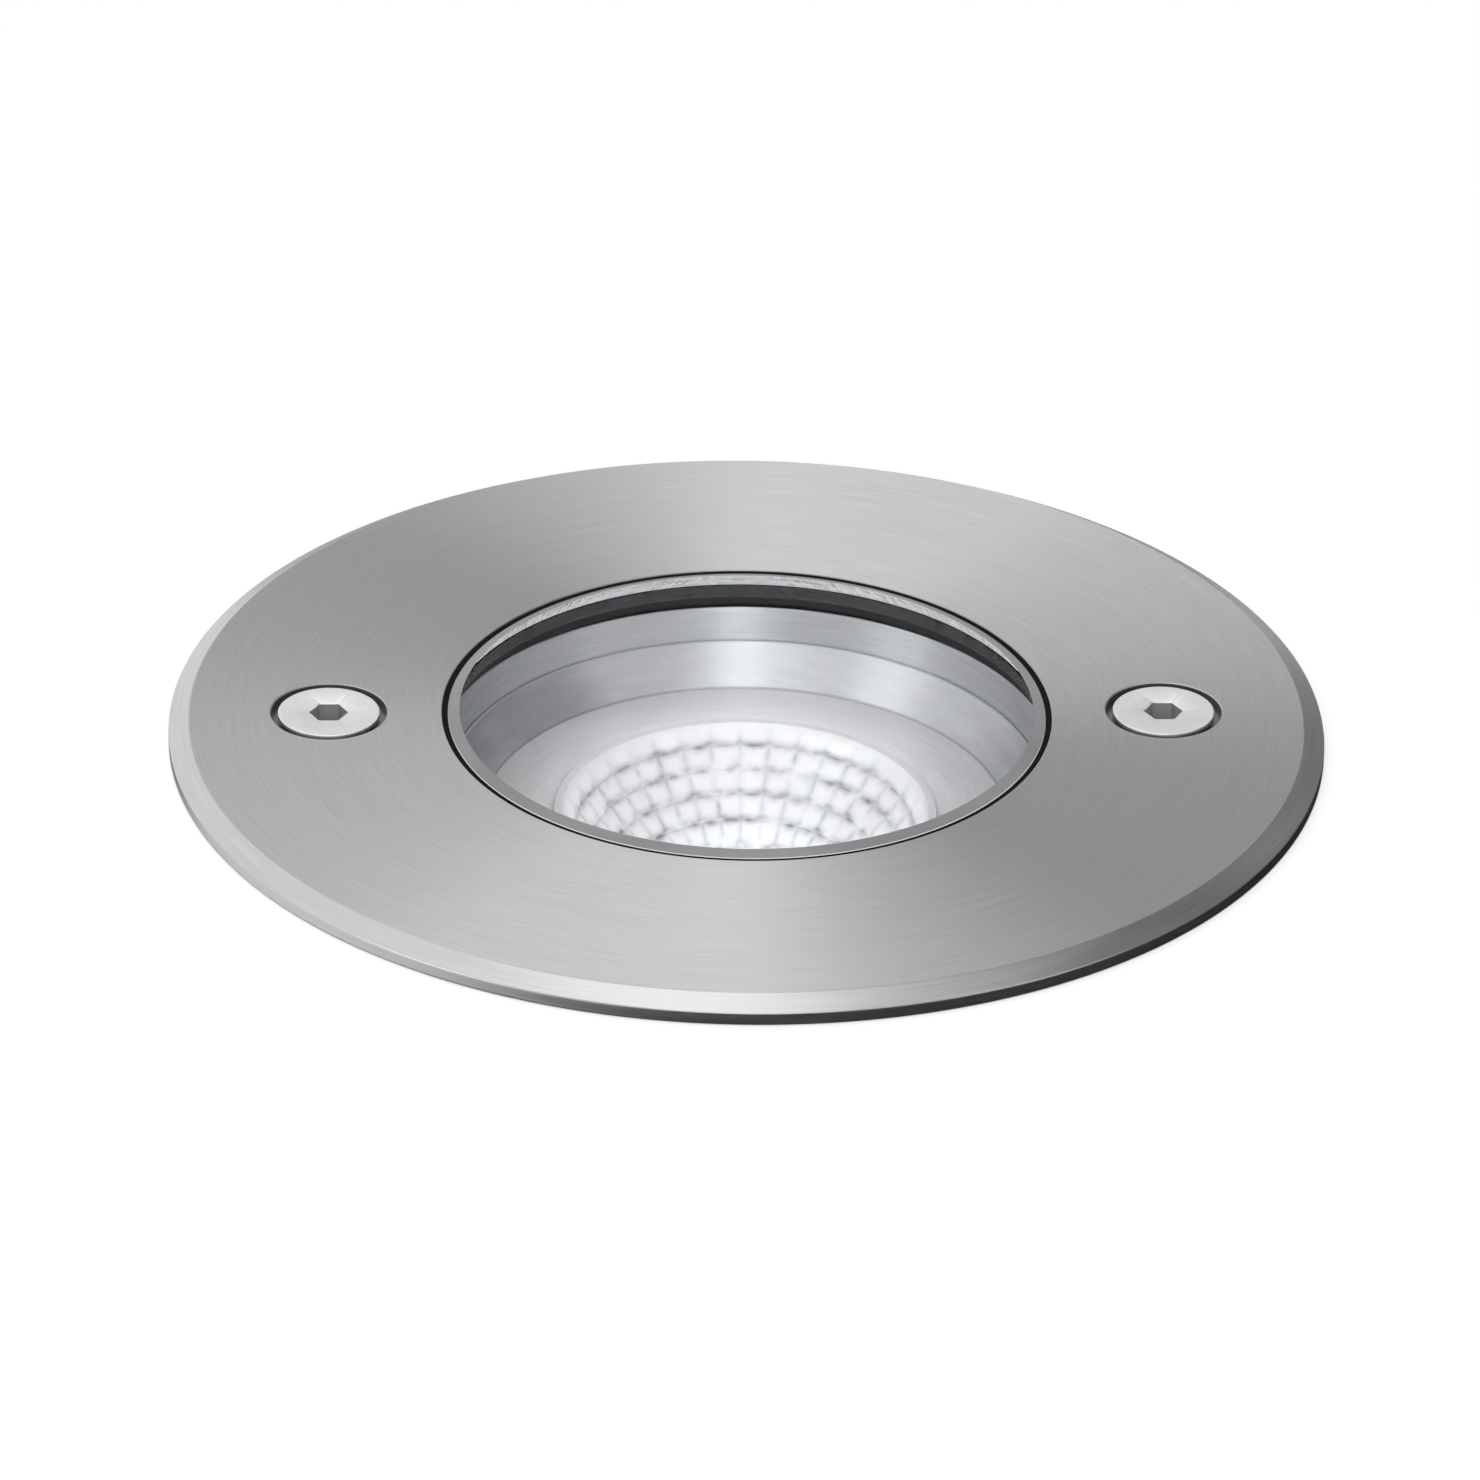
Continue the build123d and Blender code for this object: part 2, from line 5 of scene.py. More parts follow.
import bmesh
import bpy
from bpy.props import FloatProperty, FloatVectorProperty, IntProperty, PointerProperty
from mathutils import Matrix, Vector


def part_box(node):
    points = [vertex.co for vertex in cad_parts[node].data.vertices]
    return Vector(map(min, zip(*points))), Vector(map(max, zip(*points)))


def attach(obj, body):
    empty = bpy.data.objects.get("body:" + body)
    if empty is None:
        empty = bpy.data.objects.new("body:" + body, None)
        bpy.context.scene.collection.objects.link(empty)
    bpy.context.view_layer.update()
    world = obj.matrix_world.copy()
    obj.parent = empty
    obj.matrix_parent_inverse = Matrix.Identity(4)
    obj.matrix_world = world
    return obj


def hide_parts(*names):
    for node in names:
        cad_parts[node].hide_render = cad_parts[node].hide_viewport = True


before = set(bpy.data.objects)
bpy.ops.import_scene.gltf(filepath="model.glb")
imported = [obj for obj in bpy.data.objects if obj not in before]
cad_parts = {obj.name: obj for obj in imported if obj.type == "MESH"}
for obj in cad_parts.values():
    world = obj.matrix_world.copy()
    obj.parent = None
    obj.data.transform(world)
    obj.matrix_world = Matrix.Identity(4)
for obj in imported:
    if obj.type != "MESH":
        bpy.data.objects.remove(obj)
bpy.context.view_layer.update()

bl_info = {
    "name": "Recessed ground light",
    "version": (1, 0, 0),
    "blender": (4, 5, 0),
    "location": "3D View > Sidebar > Ground light",
    "description": "Finishes the pieces of a recessed ground light on its packed model",
    "category": "Object",
}

# Points closer together than this are one point, in metres
SAME_POINT = 2e-6

# Points of the grown bowl that meet along its seam, in metres
SEAM = 1e-6

# Largest share of a side that the rounding of its corner takes up
ROUNDING_SHARE = 0.4

# Range that noise mostly keeps within
NOISE_LOW = 0.3
NOISE_HIGH = 0.7

# Folds between facets, which get painted shade: how far those between rows bow, how narrow both kinds are,
# how much painted shade the upright ones get
ROW_BOW = 0.15
ROW_FOLD = 2.5
COLUMN_FOLD = 3
COLUMN_SHADE = 0.5

# Turned lines per metre on each kind of metal piece
TRIM_LINES = 5200
SCREW_LINES = 9000
LAMP_LINES = 4200
INSERT_LINES = 3000


# Properties that a user would change


def size(name, metres, words):
    """A length in metres."""
    return FloatProperty(name=name, description=words, default=metres, precision=5, unit="LENGTH")


def share(name, value, words):
    """A number from 0 to 1."""
    return FloatProperty(name=name, description=words, default=value, min=0, max=1, subtype="FACTOR")


def number(name, value, words):
    """A plain number."""
    return FloatProperty(name=name, description=words, default=value)


def count(name, value, words):
    """A whole number of like things."""
    return IntProperty(name=name, description=words, default=value, min=1)


def turn(name, degrees, words):
    """An angle."""
    return FloatProperty(name=name, description=words, default=radians(degrees), unit="ROTATION")


def colour(name, red, green, blue, words):
    """A linear colour."""
    return FloatVectorProperty(
        name=name, description=words, default=(red, green, blue), min=0, max=1, subtype="COLOR"
    )


class TrimSettings(bpy.types.PropertyGroup):
    """Trim ring and its screw seats."""

    opening: size("Opening", 0.0317, "Radius of the hole that the glass fills")
    hub: size("Hub", 0.049, "Radius of the hub that centres the ring in the sleeve")
    relief: size("Relief", 0.0524, "Radius of the shallow relief over the sleeve")
    relief_depth: size("Relief depth", 0.0005, "Depth of that relief above the ground")
    bevel_width: size("Bevel width", 0.0022, "Width of the bevel round the rim")
    bevel_drop: size("Bevel drop", 0.0012, "Height of the bevel round the rim")
    crisp: size("Crisp edge", 0.00012, "Rounding of machined edges")
    rim: size("Rim edge", 0.0002, "Rounding of the rim below the bevel")
    mouth: size("Screw mouth", 0.00605, "Radius of the recess round a screw head")
    seat: size("Screw seat", 0.0047, "Radius of the countersink at the bottom of that recess")
    hole: size("Screw hole", 0.0038, "Radius of the hole under the countersink")
    seat_drop: size("Seat drop", 0.0012, "Depth of the recess round a screw head")
    steel: colour("Steel", 0.55, 0.54, 0.54, "Colour of the brushed stainless steel")
    rim_steel: colour("Rim steel", 0.59, 0.578, 0.58, "Colour of the turned bevel and rim")
    # Painted shade: the seats' darker colour stands in for shade in the recesses round the screw heads
    seat_shade_steel: colour("Seat steel", 0.28, 0.275, 0.275, "Colour of the milled screw seats")
    rough: share("Roughness", 0.5, "Roughness of the brushed steel")
    grain: share("Grain", 0.9, "How strongly the brushing draws out reflections")
    edge_rough: share("Edge roughness", 0.33, "Roughness of the finer turned bevel and rim")


class ScrewSettings(bpy.types.PropertyGroup):
    """Countersunk screws with hexagon sockets."""

    land: size("Land", 0.0004, "Height of the straight edge of the head")
    shank: size("Shank", 0.0025, "Radius of the shank over its thread")
    socket: size("Socket", 0.0035, "Width of the hexagon socket across its flats")
    socket_depth: size("Socket depth", 0.002, "Depth of the hexagon socket")
    tip: size("Tip", 0.0005, "Bevel at the end of the shank")
    pitch: size("Pitch", 0.0008, "Pitch of the thread")
    thread: size("Thread", 0.0004, "Depth of the thread")
    plain: size("Plain shank", 0.003, "Length of the shank without thread under the head")
    steel: colour("Steel", 0.72, 0.71, 0.705, "Colour of the turned stainless steel")
    # Painted shade: the socket's darker colour stands in for shade inside the hexagon
    socket_shade_steel: colour("Socket steel", 0.57, 0.56, 0.555, "Colour of the broached socket")
    seal: size("Seal", 0.00045, "Section radius of the ring seal under the head")


class GlassSettings(bpy.types.PropertyGroup):
    """Glass lens, its seal and the gasket under it."""

    bevel: size("Bevel", 0.0012, "Width of the ground bevel round the upper edge")
    drop: size("Bevel drop", 0.0004, "Height of the ground bevel round the upper edge")
    tint: colour("Tint", 0.985, 0.99, 1.0, "Tint of the clear glass")
    ground: colour("Ground edge", 0.93, 0.95, 0.96, "Colour of the ground edge")
    bevel_tone: colour("Bevel tone", 0.31, 0.315, 0.32, "Colour of the ground bevel")
    # Painted light: the ground edge glows, though it is no lamp, to stand for light carried through the
    # glass
    edge_painted_glow: share("Edge glow", 0.45, "Light that the ground edge gathers from the lit lamp")
    lap: size("Gasket lap", 0.00035, "How far the gasket's lip reaches under the glass")
    lip: size("Gasket lip", 0.0008, "Thickness of the gasket's lip")
    rubber: colour("Rubber", 0.002, 0.002, 0.0022, "Colour of seals and gasket")


class LampSettings(bpy.types.PropertyGroup):
    """Lamp body and the turned dish round the reflector."""

    mouth: size("Mouth", 0.0319, "Radius of the throat at the gasket")
    throat: size("Throat", 0.031, "Radius of the throat at the dish")
    flange: size("Flange", 0.004, "Thickness of the top flange")
    can: size("Can", 0.0369, "Outer radius of the can")
    wall: size("Wall", 0.0025, "Wall of the can")
    shoulder: size("Shoulder", 0.003, "Thickness of the shoulder under the dish")
    shoulder_hole: size("Shoulder hole", 0.0248, "Radius of the hole in the shoulder")
    screw_hole: size("Screw hole", 0.00275, "Radius of the flange's screw holes")
    lip: size("Dish lip", 0.0003, "Width of the dish's upper lip")
    posts: count("Posts", 3, "Posts that carry the heat sink")
    post: size("Post", 0.0032, "Radius of a post")
    post_pitch: size("Post pitch", 0.0289, "Distance of the posts from the axis")
    tap: size("Tapped hole", 0.00155, "Radius of a post's screw hole")
    tap_depth: size("Tapped depth", 0.0032, "Depth of a post's screw hole")
    taper: size("Dish taper", 0.0033, "How far the dish narrows down to its floor")
    floor: size("Dish floor", 0.0015, "Thickness of the dish's floor")
    fit: size("Reflector fit", 0.00002, "Gap round the reflector")
    turned: colour("Turned aluminium", 0.8, 0.81, 0.825, "Colour of the machined mouth")
    dish: colour("Dish", 0.85, 0.86, 0.875, "Colour of the dish's turned wall")
    # Painted light: the floor's lighter tone stands in for the glow round the reflector's rim
    dish_floor: colour("Dish floor tone", 0.95, 0.955, 0.965, "Colour of the dish's brighter floor")
    # Painted shade: the darker tone round the dish's floor stands in for shade in the corner
    corner: colour("Dish corner", 0.7, 0.705, 0.715, "Colour of the tool mark round the dish's floor")
    cast: colour("Cast aluminium", 0.42, 0.43, 0.44, "Colour of blasted cast aluminium")


class ReflectorSettings(bpy.types.PropertyGroup):
    """Faceted reflector and the light source under it."""

    columns: count("Columns", 36, "Facets round the bowl")
    rows: count("Rows", 6, "Facets from rim to throat")
    steps: count("Steps", 8, "Divisions along each side of a facet")
    mouth: size("Mouth", 0.0192, "Inner radius at the rim")
    throat: size("Throat", 0.008, "Inner radius at the bottom")
    wall: size("Wall", 0.0008, "Wall of the bowl")
    curve: number("Curve", 1.2, "How much the bowl is curved, where 1 is a straight cone")
    pillow: size("Pillow", 0.00018, "How far each facet bulges along the bowl")
    flatness: number("Flatness", 4.0, "How flat the middle of a facet is, where 2 is evenly round")
    sideways: share("Sideways", 0.2, "Share of that bulge across each facet")
    bright: colour("Bright finish", 0.65, 0.655, 0.665, "Colour of the bright facets")
    glow: number("Glow", 16.0, "Strength of the lit source")
    phosphor: colour("Lit source", 0.97, 0.98, 1.0, "Colour of the lit source")


class InnerSettings(bpy.types.PropertyGroup):
    """Pieces inside the lamp that keep their solids."""

    plated: colour("Plated steel", 0.6, 0.6, 0.58, "Colour of the small screws")
    sink: colour("Heat sink", 0.66, 0.67, 0.68, "Colour of the machined heat sink")
    driver: colour("Driver", 0.05, 0.05, 0.055, "Colour of the driver's case")
    leads: colour("Leads", 0.5, 0.04, 0.03, "Colour of the leads' insulation")
    board: colour("Board", 0.84, 0.85, 0.84, "Colour of the light source's board")
    white: colour("White plastic", 0.8, 0.8, 0.78, "Colour of the holder and the terminals")


class BaseSettings(bpy.types.PropertyGroup):
    """Base cover and cable gland."""

    thick: size("Cover", 0.004, "Thickness of the base cover")
    spigot_wall: size("Spigot wall", 0.0043, "Wall of the spigot inside the can")
    spigot_fit: size("Spigot fit", 0.0002, "Gap round the spigot")
    hole: size("Gland hole", 0.008, "Radius of the hole for the gland")
    spanner: size("Spanner hole", 0.0022, "Radius of the blind spanner holes")
    spanner_depth: size("Spanner depth", 0.0025, "Depth of the blind spanner holes")
    spanner_pitch: size("Spanner pitch", 0.024, "Distance of the spanner holes from the axis")
    flats: size("Gland flats", 0.02, "Width of the gland across its flats")
    thread: size("Gland thread", 0.0079, "Radius of the gland's thread")
    bore: size("Gland bore", 0.005, "Radius of the gland's bore")
    hexagon: size("Gland hexagon", 0.006, "Height of the gland's hexagon")
    nut_bevel: size("Nut bevel", 0.0025, "Bevel at the end of the gland nut")
    nut_hole: size("Nut hole", 0.0042, "Radius of the cable hole in the nut")
    nut_end: size("Nut end", 0.0035, "Thickness of the nut's end wall")
    nylon: colour("Nylon", 0.022, 0.022, 0.024, "Colour of the gland")


class SleeveSettings(bpy.types.PropertyGroup):
    """Sleeve that stays in the ground, with its brass inserts."""

    wall: size("Wall", 0.0025, "Wall of the tube")
    ledge: size("Ledge", 0.0379, "Inner radius of the ledge")
    ledge_top: size("Ledge top", -0.0088, "Height of the ledge's top")
    ledge_thick: size("Ledge thickness", 0.005, "Thickness of the ledge")
    boss: size("Boss", 0.0051, "Radius of a screw boss")
    boss_floor: size("Boss floor", 0.0015, "Thickness under an insert")
    grooves: count("Grooves", 3, "Anchor grooves round the tube")
    groove_depth: size("Groove depth", 0.0008, "Depth of an anchor groove")
    groove_width: size("Groove width", 0.002, "Width of an anchor groove")
    notch_width: size("Notch width", 0.014, "Width of a cable notch")
    notch_height: size("Notch height", 0.016, "Height of a cable notch")
    insert: size("Insert bore", 0.0026, "Bore radius of a brass insert")
    plastic: colour("Plastic", 0.03, 0.031, 0.033, "Colour of the moulded sleeve")
    brass: colour("Brass", 0.66, 0.47, 0.2, "Colour of the inserts")


class StageSettings(bpy.types.PropertyGroup):
    """Camera, lamps and the pale ground."""

    distance: size("Distance", 0.8566, "Camera's distance from the middle of the trim's top")
    azimuth: turn("Azimuth", -2.19, "Camera's turn about the axis")
    elevation: turn("Elevation", 28.4, "Camera's height above the horizon")
    roll: turn("Roll", 0.93, "Camera's turn about its own line of sight")
    aim_x: size("Aim across", -0.0009, "Where the camera looks, across the trim's top")
    aim_y: size("Aim along", -0.0064, "Where the camera looks, along the trim's top")
    lens: number("Lens", 200.5, "Focal length in millimetres on a 36 mm frame")
    ground: size("Ground", 0.27, "Radius of the pale ground in front")
    ground_start: turn("Ground start", 180, "Where the pale ground begins, counterclockwise from the right")
    ground_sweep: turn("Ground sweep", 198, "Angle that the pale ground covers from there")
    ground_hole: size("Ground hole", 0.0535, "Radius of the hole for the sleeve")
    ground_level: size("Ground level", -0.0001, "Height of the pale ground, just below the trim")
    paper: colour("Paper", 0.8, 0.8, 0.8, "Colour of the pale ground")
    paper_glow: share("Paper glow", 0.5, "Light that brings the pale ground up to white")
    ambient: number("Ambient", 0.55, "Strength of the light from all round")
    overhead: number("Overhead", 1.0, "Power of the soft lamp above, in watts")
    side: number("Side", 1.2, "Power of the soft lamp at the left, in watts")
    front: number("Front", 0.17, "Power of the soft lamp in front, in watts")
    low: number("Low front", 0.9, "Power of the low strip lamp in front, in watts")
    back: number("Back", 0.75, "Power of the soft lamp behind, in watts")
    bounce: number("Bounce", 0.007, "Power of the light that the glass throws back, in watts")


def settings(group):
    """The settings of a piece or group of pieces."""
    return getattr(bpy.context.scene, "groundlight_" + group)


# Mesh code


def soften(outline, radius, steps=4):
    """The closed outline of (radius, height) corners, with a small arc and two support points at each.

    A corner with a third number takes that as its own rounding."""
    made = []
    for index, corner in enumerate(outline):
        here = Vector(corner[:2])
        back = Vector(outline[index - 1][:2]) - here
        ahead = Vector(outline[(index + 1) % len(outline)][:2]) - here
        if here.x == 0.0:
            made.append(here)
            continue
        own = corner[2] if len(corner) > 2 else radius
        room = ROUNDING_SHARE * min(back.length, ahead.length)
        reach = min(own / tan(back.angle(ahead) / 2), room)
        start = here + back.normalized() * reach
        end = here + ahead.normalized() * reach
        margin = min(own, room / 4)
        made.append(start + back.normalized() * margin)
        for step in range(steps + 1):
            t = step / steps
            made.append(start * (1 - t) ** 2 + here * 2 * t * (1 - t) + end * t**2)
        made.append(end + ahead.normalized() * margin)
    apart = [point for index, point in enumerate(made) if (point - made[index - 1]).length > SAME_POINT]
    return [(point.x, point.y) for point in apart]


def hexagon_radius(angle, flats):
    """Distance from the axis to a hexagon's side, with corners on X."""
    return flats / 2 / cos(angle % (pi / 3) - pi / 6)


def hexagon_corner(flats):
    """Distance from the axis to a hexagon's corner."""
    return flats / 2 / cos(pi / 6)


def spin(bm, rings, segments, centre=(0.0, 0.0)):
    """Adds a closed shape turned about Z.

    A ring is (radius, height), or has a hexagon's flats as a third number."""
    loops = []
    for ring in rings:
        loop = []
        for step in range(segments if ring[0] > 0 else 1):
            angle = 2 * pi * step / segments
            radius = ring[0]
            if len(ring) > 2:
                radius = min(radius, hexagon_radius(angle, ring[2]))
            place = (centre[0] + radius * cos(angle), centre[1] + radius * sin(angle), ring[1])
            loop.append(bm.verts.new(place))
        loops.append(loop)
    for index, upper in enumerate(loops):
        lower = loops[index - 1]
        if len(upper) == 1 and len(lower) == 1:
            continue
        for step in range(segments):
            after = (step + 1) % segments
            corners = [lower[step % len(lower)], lower[after % len(lower)]]
            corners += [upper[after % len(upper)], upper[step % len(upper)]]
            bm.faces.new(list(dict.fromkeys(corners)))


def pillar(bm, radius, bottom, top, centre, segments=96):
    """Adds a plain round pillar."""
    spin(bm, [(0.0, bottom), (radius, bottom), (radius, top), (0.0, top)], segments, centre)


def block(bm, low, high):
    """Adds a plain box between two corners."""
    matrix = Matrix.Translation((Vector(low) + Vector(high)) / 2)
    matrix = matrix @ Matrix.Diagonal((*(Vector(high) - Vector(low)), 1))
    bmesh.ops.create_cube(bm, size=1, matrix=matrix)


def outward(bm):
    """The working geometry with its faces turned outwards."""
    bmesh.ops.recalc_face_normals(bm, faces=bm.faces)
    return bm


def plain_mesh(bm, name):
    """A mesh of the working geometry, which is freed."""
    mesh = bpy.data.meshes.new(name)
    bm.to_mesh(mesh)
    bm.free()
    return mesh


def to_mesh(bm, name, sharp=40):
    """A smooth mesh with outward faces, sharp where its faces meet at more than the given degrees."""
    mesh = plain_mesh(outward(bm), name)
    mesh.shade_smooth()
    mesh.set_sharp_from_angle(angle=radians(sharp))
    return mesh


def taken(*meshes):
    """Working geometry of the given meshes, which are removed."""
    bm = bmesh.new()
    for mesh in meshes:
        bm.from_mesh(mesh)
        bpy.data.meshes.remove(mesh)
    return bm


def spun(name, rings, segments, sharp=40, centre=(0.0, 0.0)):
    """A mesh turned about an upright axis from its rings."""
    bm = bmesh.new()
    spin(bm, rings, segments, centre)
    return to_mesh(bm, name, sharp)


def turned(name, outline, radius, segments=256):
    """A mesh turned about Z from a closed outline with softened corners."""
    return spun(name, soften(outline, radius), segments)


def ring_seal(name, radius, section, height, segments, centre=(0.0, 0.0), steps=20):
    """A round ring seal."""
    turns = [2 * pi * step / steps for step in range(steps)]
    rings = [(radius + section * cos(turn), height + section * sin(turn)) for turn in turns]
    return spun(name, rings, segments, centre=centre)


def evaluated(thing):
    """A plain mesh of what an object's modifiers make."""
    bpy.context.view_layer.update()
    graph = bpy.context.evaluated_depsgraph_get()
    return bpy.data.meshes.new_from_object(thing.evaluated_get(graph), depsgraph=graph)


def loose(mesh):
    """A new object in the scene for a mesh."""
    thing = bpy.data.objects.new(mesh.name, mesh)
    bpy.context.collection.objects.link(thing)
    return thing


def cut(mesh, tools, sharp=40, operation="DIFFERENCE"):
    """The mesh with the tools' volume taken away, or with it added by the operation UNION."""
    name = mesh.name
    body, tool = loose(mesh), loose(plain_mesh(outward(tools), "tools"))
    change = body.modifiers.new("cut", "BOOLEAN")
    change.operation = operation
    change.solver = "EXACT"
    change.object = tool
    made = evaluated(body)
    for used in (body, tool):
        data = used.data
        bpy.data.objects.remove(used)
        bpy.data.meshes.remove(data)
    bm = taken(made)
    bmesh.ops.remove_doubles(bm, verts=bm.verts, dist=SAME_POINT)
    return to_mesh(bm, name, sharp)


def finish_piece(mesh, node, body, slot, *materials):
    """Puts a finished mesh on its body in place of its node."""
    if not mesh.polygons:
        raise RuntimeError(node + " has no faces")
    mesh.name = node + "_finish"
    mesh.materials.clear()
    for material in materials:
        mesh.materials.append(material)
    piece = loose(mesh)
    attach(piece, body)
    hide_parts(node)
    return piece


def paint(piece, choose):
    """Gives each face the finish whose number the rule picks."""
    for face in piece.data.polygons:
        face.material_index = choose(face.center, face.normal)


def dress(node, material):
    """Gives a CAD node its material."""
    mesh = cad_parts[node].data
    mesh.materials.clear()
    mesh.materials.append(material)


def screw_centres():
    """The two screw axes, by side."""
    centres = {}
    for side in ("left", "right"):
        low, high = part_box(side + "_screw")
        centres[side] = ((low.x + high.x) / 2, (low.y + high.y) / 2)
    return centres


# Node trees


class Value:
    """An output of a node, which can be used in a formula."""

    def __init__(self, tree, socket):
        self.tree = tree
        self.socket = socket

    def calc(self, operation, other=0.0, after=False):
        """The result of a Math node on this value and another, or on the other and this one."""
        pair = (other, self) if after else (self, other)
        return value(self.tree, "ShaderNodeMath", dict(enumerate(pair)), operation=operation)

    def __add__(self, other):
        return self.calc("ADD", other)

    def __sub__(self, other):
        return self.calc("SUBTRACT", other)

    def __mul__(self, other):
        return self.calc("MULTIPLY", other)

    def __truediv__(self, other):
        return self.calc("DIVIDE", other)

    def __pow__(self, other):
        return self.calc("POWER", other)

    def __radd__(self, other):
        return self.calc("ADD", other, after=True)

    def __rsub__(self, other):
        return self.calc("SUBTRACT", other, after=True)

    def __rtruediv__(self, other):
        return self.calc("DIVIDE", other, after=True)


def feed(node, inputs):
    """Fills a node's inputs with numbers, colours or links."""
    for key, given in inputs.items():
        if isinstance(given, Value):
            given.tree.links.new(given.socket, node.inputs[key])
        else:
            node.inputs[key].default_value = given


def add(tree, kind, inputs=None, **choices):
    """Adds a node with its choices and inputs."""
    made = tree.nodes.new(kind)
    for key, choice in choices.items():
        setattr(made, key, choice)
    feed(made, inputs or {})
    return made


def value(tree, kind, inputs=None, output=0, **choices):
    """One output of a new node."""
    return Value(tree, add(tree, kind, inputs, **choices).outputs[output])


def split(tree, vector):
    """The three parts of a vector."""
    parts = add(tree, "ShaderNodeSeparateXYZ", {0: vector}).outputs
    return [Value(tree, part) for part in parts]


def combined(tree, *parts):
    """A vector of its parts."""
    return value(tree, "ShaderNodeCombineXYZ", dict(enumerate(parts)))


def arrow(tree, operation, inputs, output="Vector"):
    """The result of a Vector Math node."""
    return value(tree, "ShaderNodeVectorMath", inputs, output, operation=operation)


def emptied(owner):
    """The node tree of a material or world, with nothing in it."""
    owner.use_nodes = True
    owner.node_tree.nodes.clear()
    return owner.node_tree


def seen_directly(tree):
    """1 for the camera's rays, mirrored rays and rays through glass, and 0 for others."""
    rays = add(tree, "ShaderNodeLightPath").outputs
    seen = Value(tree, rays["Is Camera Ray"])
    for name in ("Is Glossy Ray", "Is Transmission Ray"):
        seen = seen.calc("MAXIMUM", Value(tree, rays[name]))
    return seen


# Materials


def plain(rgb, factor=1.0):
    """A colour with alpha, lightened or darkened."""
    return (*[min(1.0, channel * factor) for channel in rgb], 1.0)


def show(tree, surface, kind=None):
    """Sends a surface to the tree's output, which is new if its kind is given."""
    output = tree.nodes.new(kind) if kind else tree.nodes["Material Output"]
    feed(output, {"Surface": surface})


def new_finish(name):
    """An empty material with a shader and its output."""
    material = bpy.data.materials.new(name)
    tree = emptied(material)
    shader = add(tree, "ShaderNodeBsdfPrincipled")
    show(tree, Value(tree, shader.outputs["BSDF"]), "ShaderNodeOutputMaterial")
    return material, tree, shader


def ramp(tree, factor, rgb, low, high):
    """A colour that runs from darker to lighter with a factor."""
    made = add(tree, "ShaderNodeValToRGB", {"Fac": factor})
    for element, position, level in zip(made.color_ramp.elements, (NOISE_LOW, NOISE_HIGH), (low, high)):
        element.position = position
        element.color = plain(rgb, level)
    return Value(tree, made.outputs["Color"])


def spread(tree, factor, low, high):
    """A number that runs from low to high with a factor."""
    inputs = {"Value": factor, "From Min": NOISE_LOW, "From Max": NOISE_HIGH, "To Min": low, "To Max": high}
    return value(tree, "ShaderNodeMapRange", inputs, "Result")


def bump(tree, height, strength, depth):
    """A normal with a fine relief."""
    inputs = {"Height": height, "Strength": strength, "Distance": depth}
    return value(tree, "ShaderNodeBump", inputs, "Normal")


def noise(tree, place, scale, detail, rough):
    """Noise at a place."""
    inputs = {"Vector": place, "Scale": scale, "Detail": detail, "Roughness": rough}
    return value(tree, "ShaderNodeTexNoise", inputs, "Fac")


def on_piece(tree):
    """A place on the piece, in metres."""
    return value(tree, "ShaderNodeTexCoord", output="Object")


def grain(tree, scale, detail=3.0):
    """Even fine noise."""
    return noise(tree, on_piece(tree), scale, detail, 0.6)


def turned_lines(tree, centre, per_metre, breaks):
    """Fine lines round an axis, on flats and walls alike, broken along their length."""
    moved = {"Vector": on_piece(tree), "Location": (-centre[0], -centre[1], 0)}
    x, y, z = split(tree, value(tree, "ShaderNodeMapping", moved))
    flat = combined(tree, x, y)
    radius = arrow(tree, "LENGTH", {0: flat}, "Value")
    east, north, _ = split(tree, arrow(tree, "NORMALIZE", {0: flat}))
    place = combined(tree, east * breaks, north * breaks, (radius - z) * per_metre)
    return noise(tree, place, 1.0, 5.0, 0.65)


def brushed(name, rgb, rough, drawn, per_metre, breaks=5.0, centre=(0.0, 0.0), relief=0.06, metal=1.0):
    """Metal with a circular grain that draws reflections out across it."""
    material, tree, shader = new_finish(name)
    lines = turned_lines(tree, centre, per_metre, breaks)
    inputs = {
        "Base Color": ramp(tree, lines, rgb, 0.9, 1.09),
        "Roughness": spread(tree, lines, rough - 0.05, rough + 0.05),
        "Tangent": value(tree, "ShaderNodeTangent", direction_type="RADIAL", axis="Z"),
        "Metallic": metal,
        "Anisotropic": drawn,
        "Anisotropic Rotation": 0.25,
        "Normal": bump(tree, lines, relief, 0.00002),
    }
    feed(shader, inputs)
    return material


def blasted(name, rgb, rough):
    """Cast metal with a fine blasted skin."""
    material, tree, shader = new_finish(name)
    skin = grain(tree, 2600)
    inputs = {
        "Base Color": ramp(tree, grain(tree, 90, 4), rgb, 0.9, 1.08),
        "Roughness": spread(tree, skin, rough - 0.08, rough + 0.08),
        "Metallic": 1.0,
        "Normal": bump(tree, skin, 0.35, 0.00008),
    }
    feed(shader, inputs)
    return material


def moulded(name, rgb, rough, scale=1800, relief=0.2, specular=0.5, glow=0.0):
    """Plastic or rubber with a fine moulded grain."""
    material, tree, shader = new_finish(name)
    skin = grain(tree, scale)
    inputs = {
        "Base Color": ramp(tree, grain(tree, 60, 4), rgb, 0.85, 1.15),
        "Roughness": spread(tree, skin, rough - 0.07, rough + 0.07),
        "Specular IOR Level": specular,
        "Emission Color": plain(rgb),
        "Emission Strength": glow,
        "Normal": bump(tree, skin, relief, 0.00005),
    }
    feed(shader, inputs)
    return material


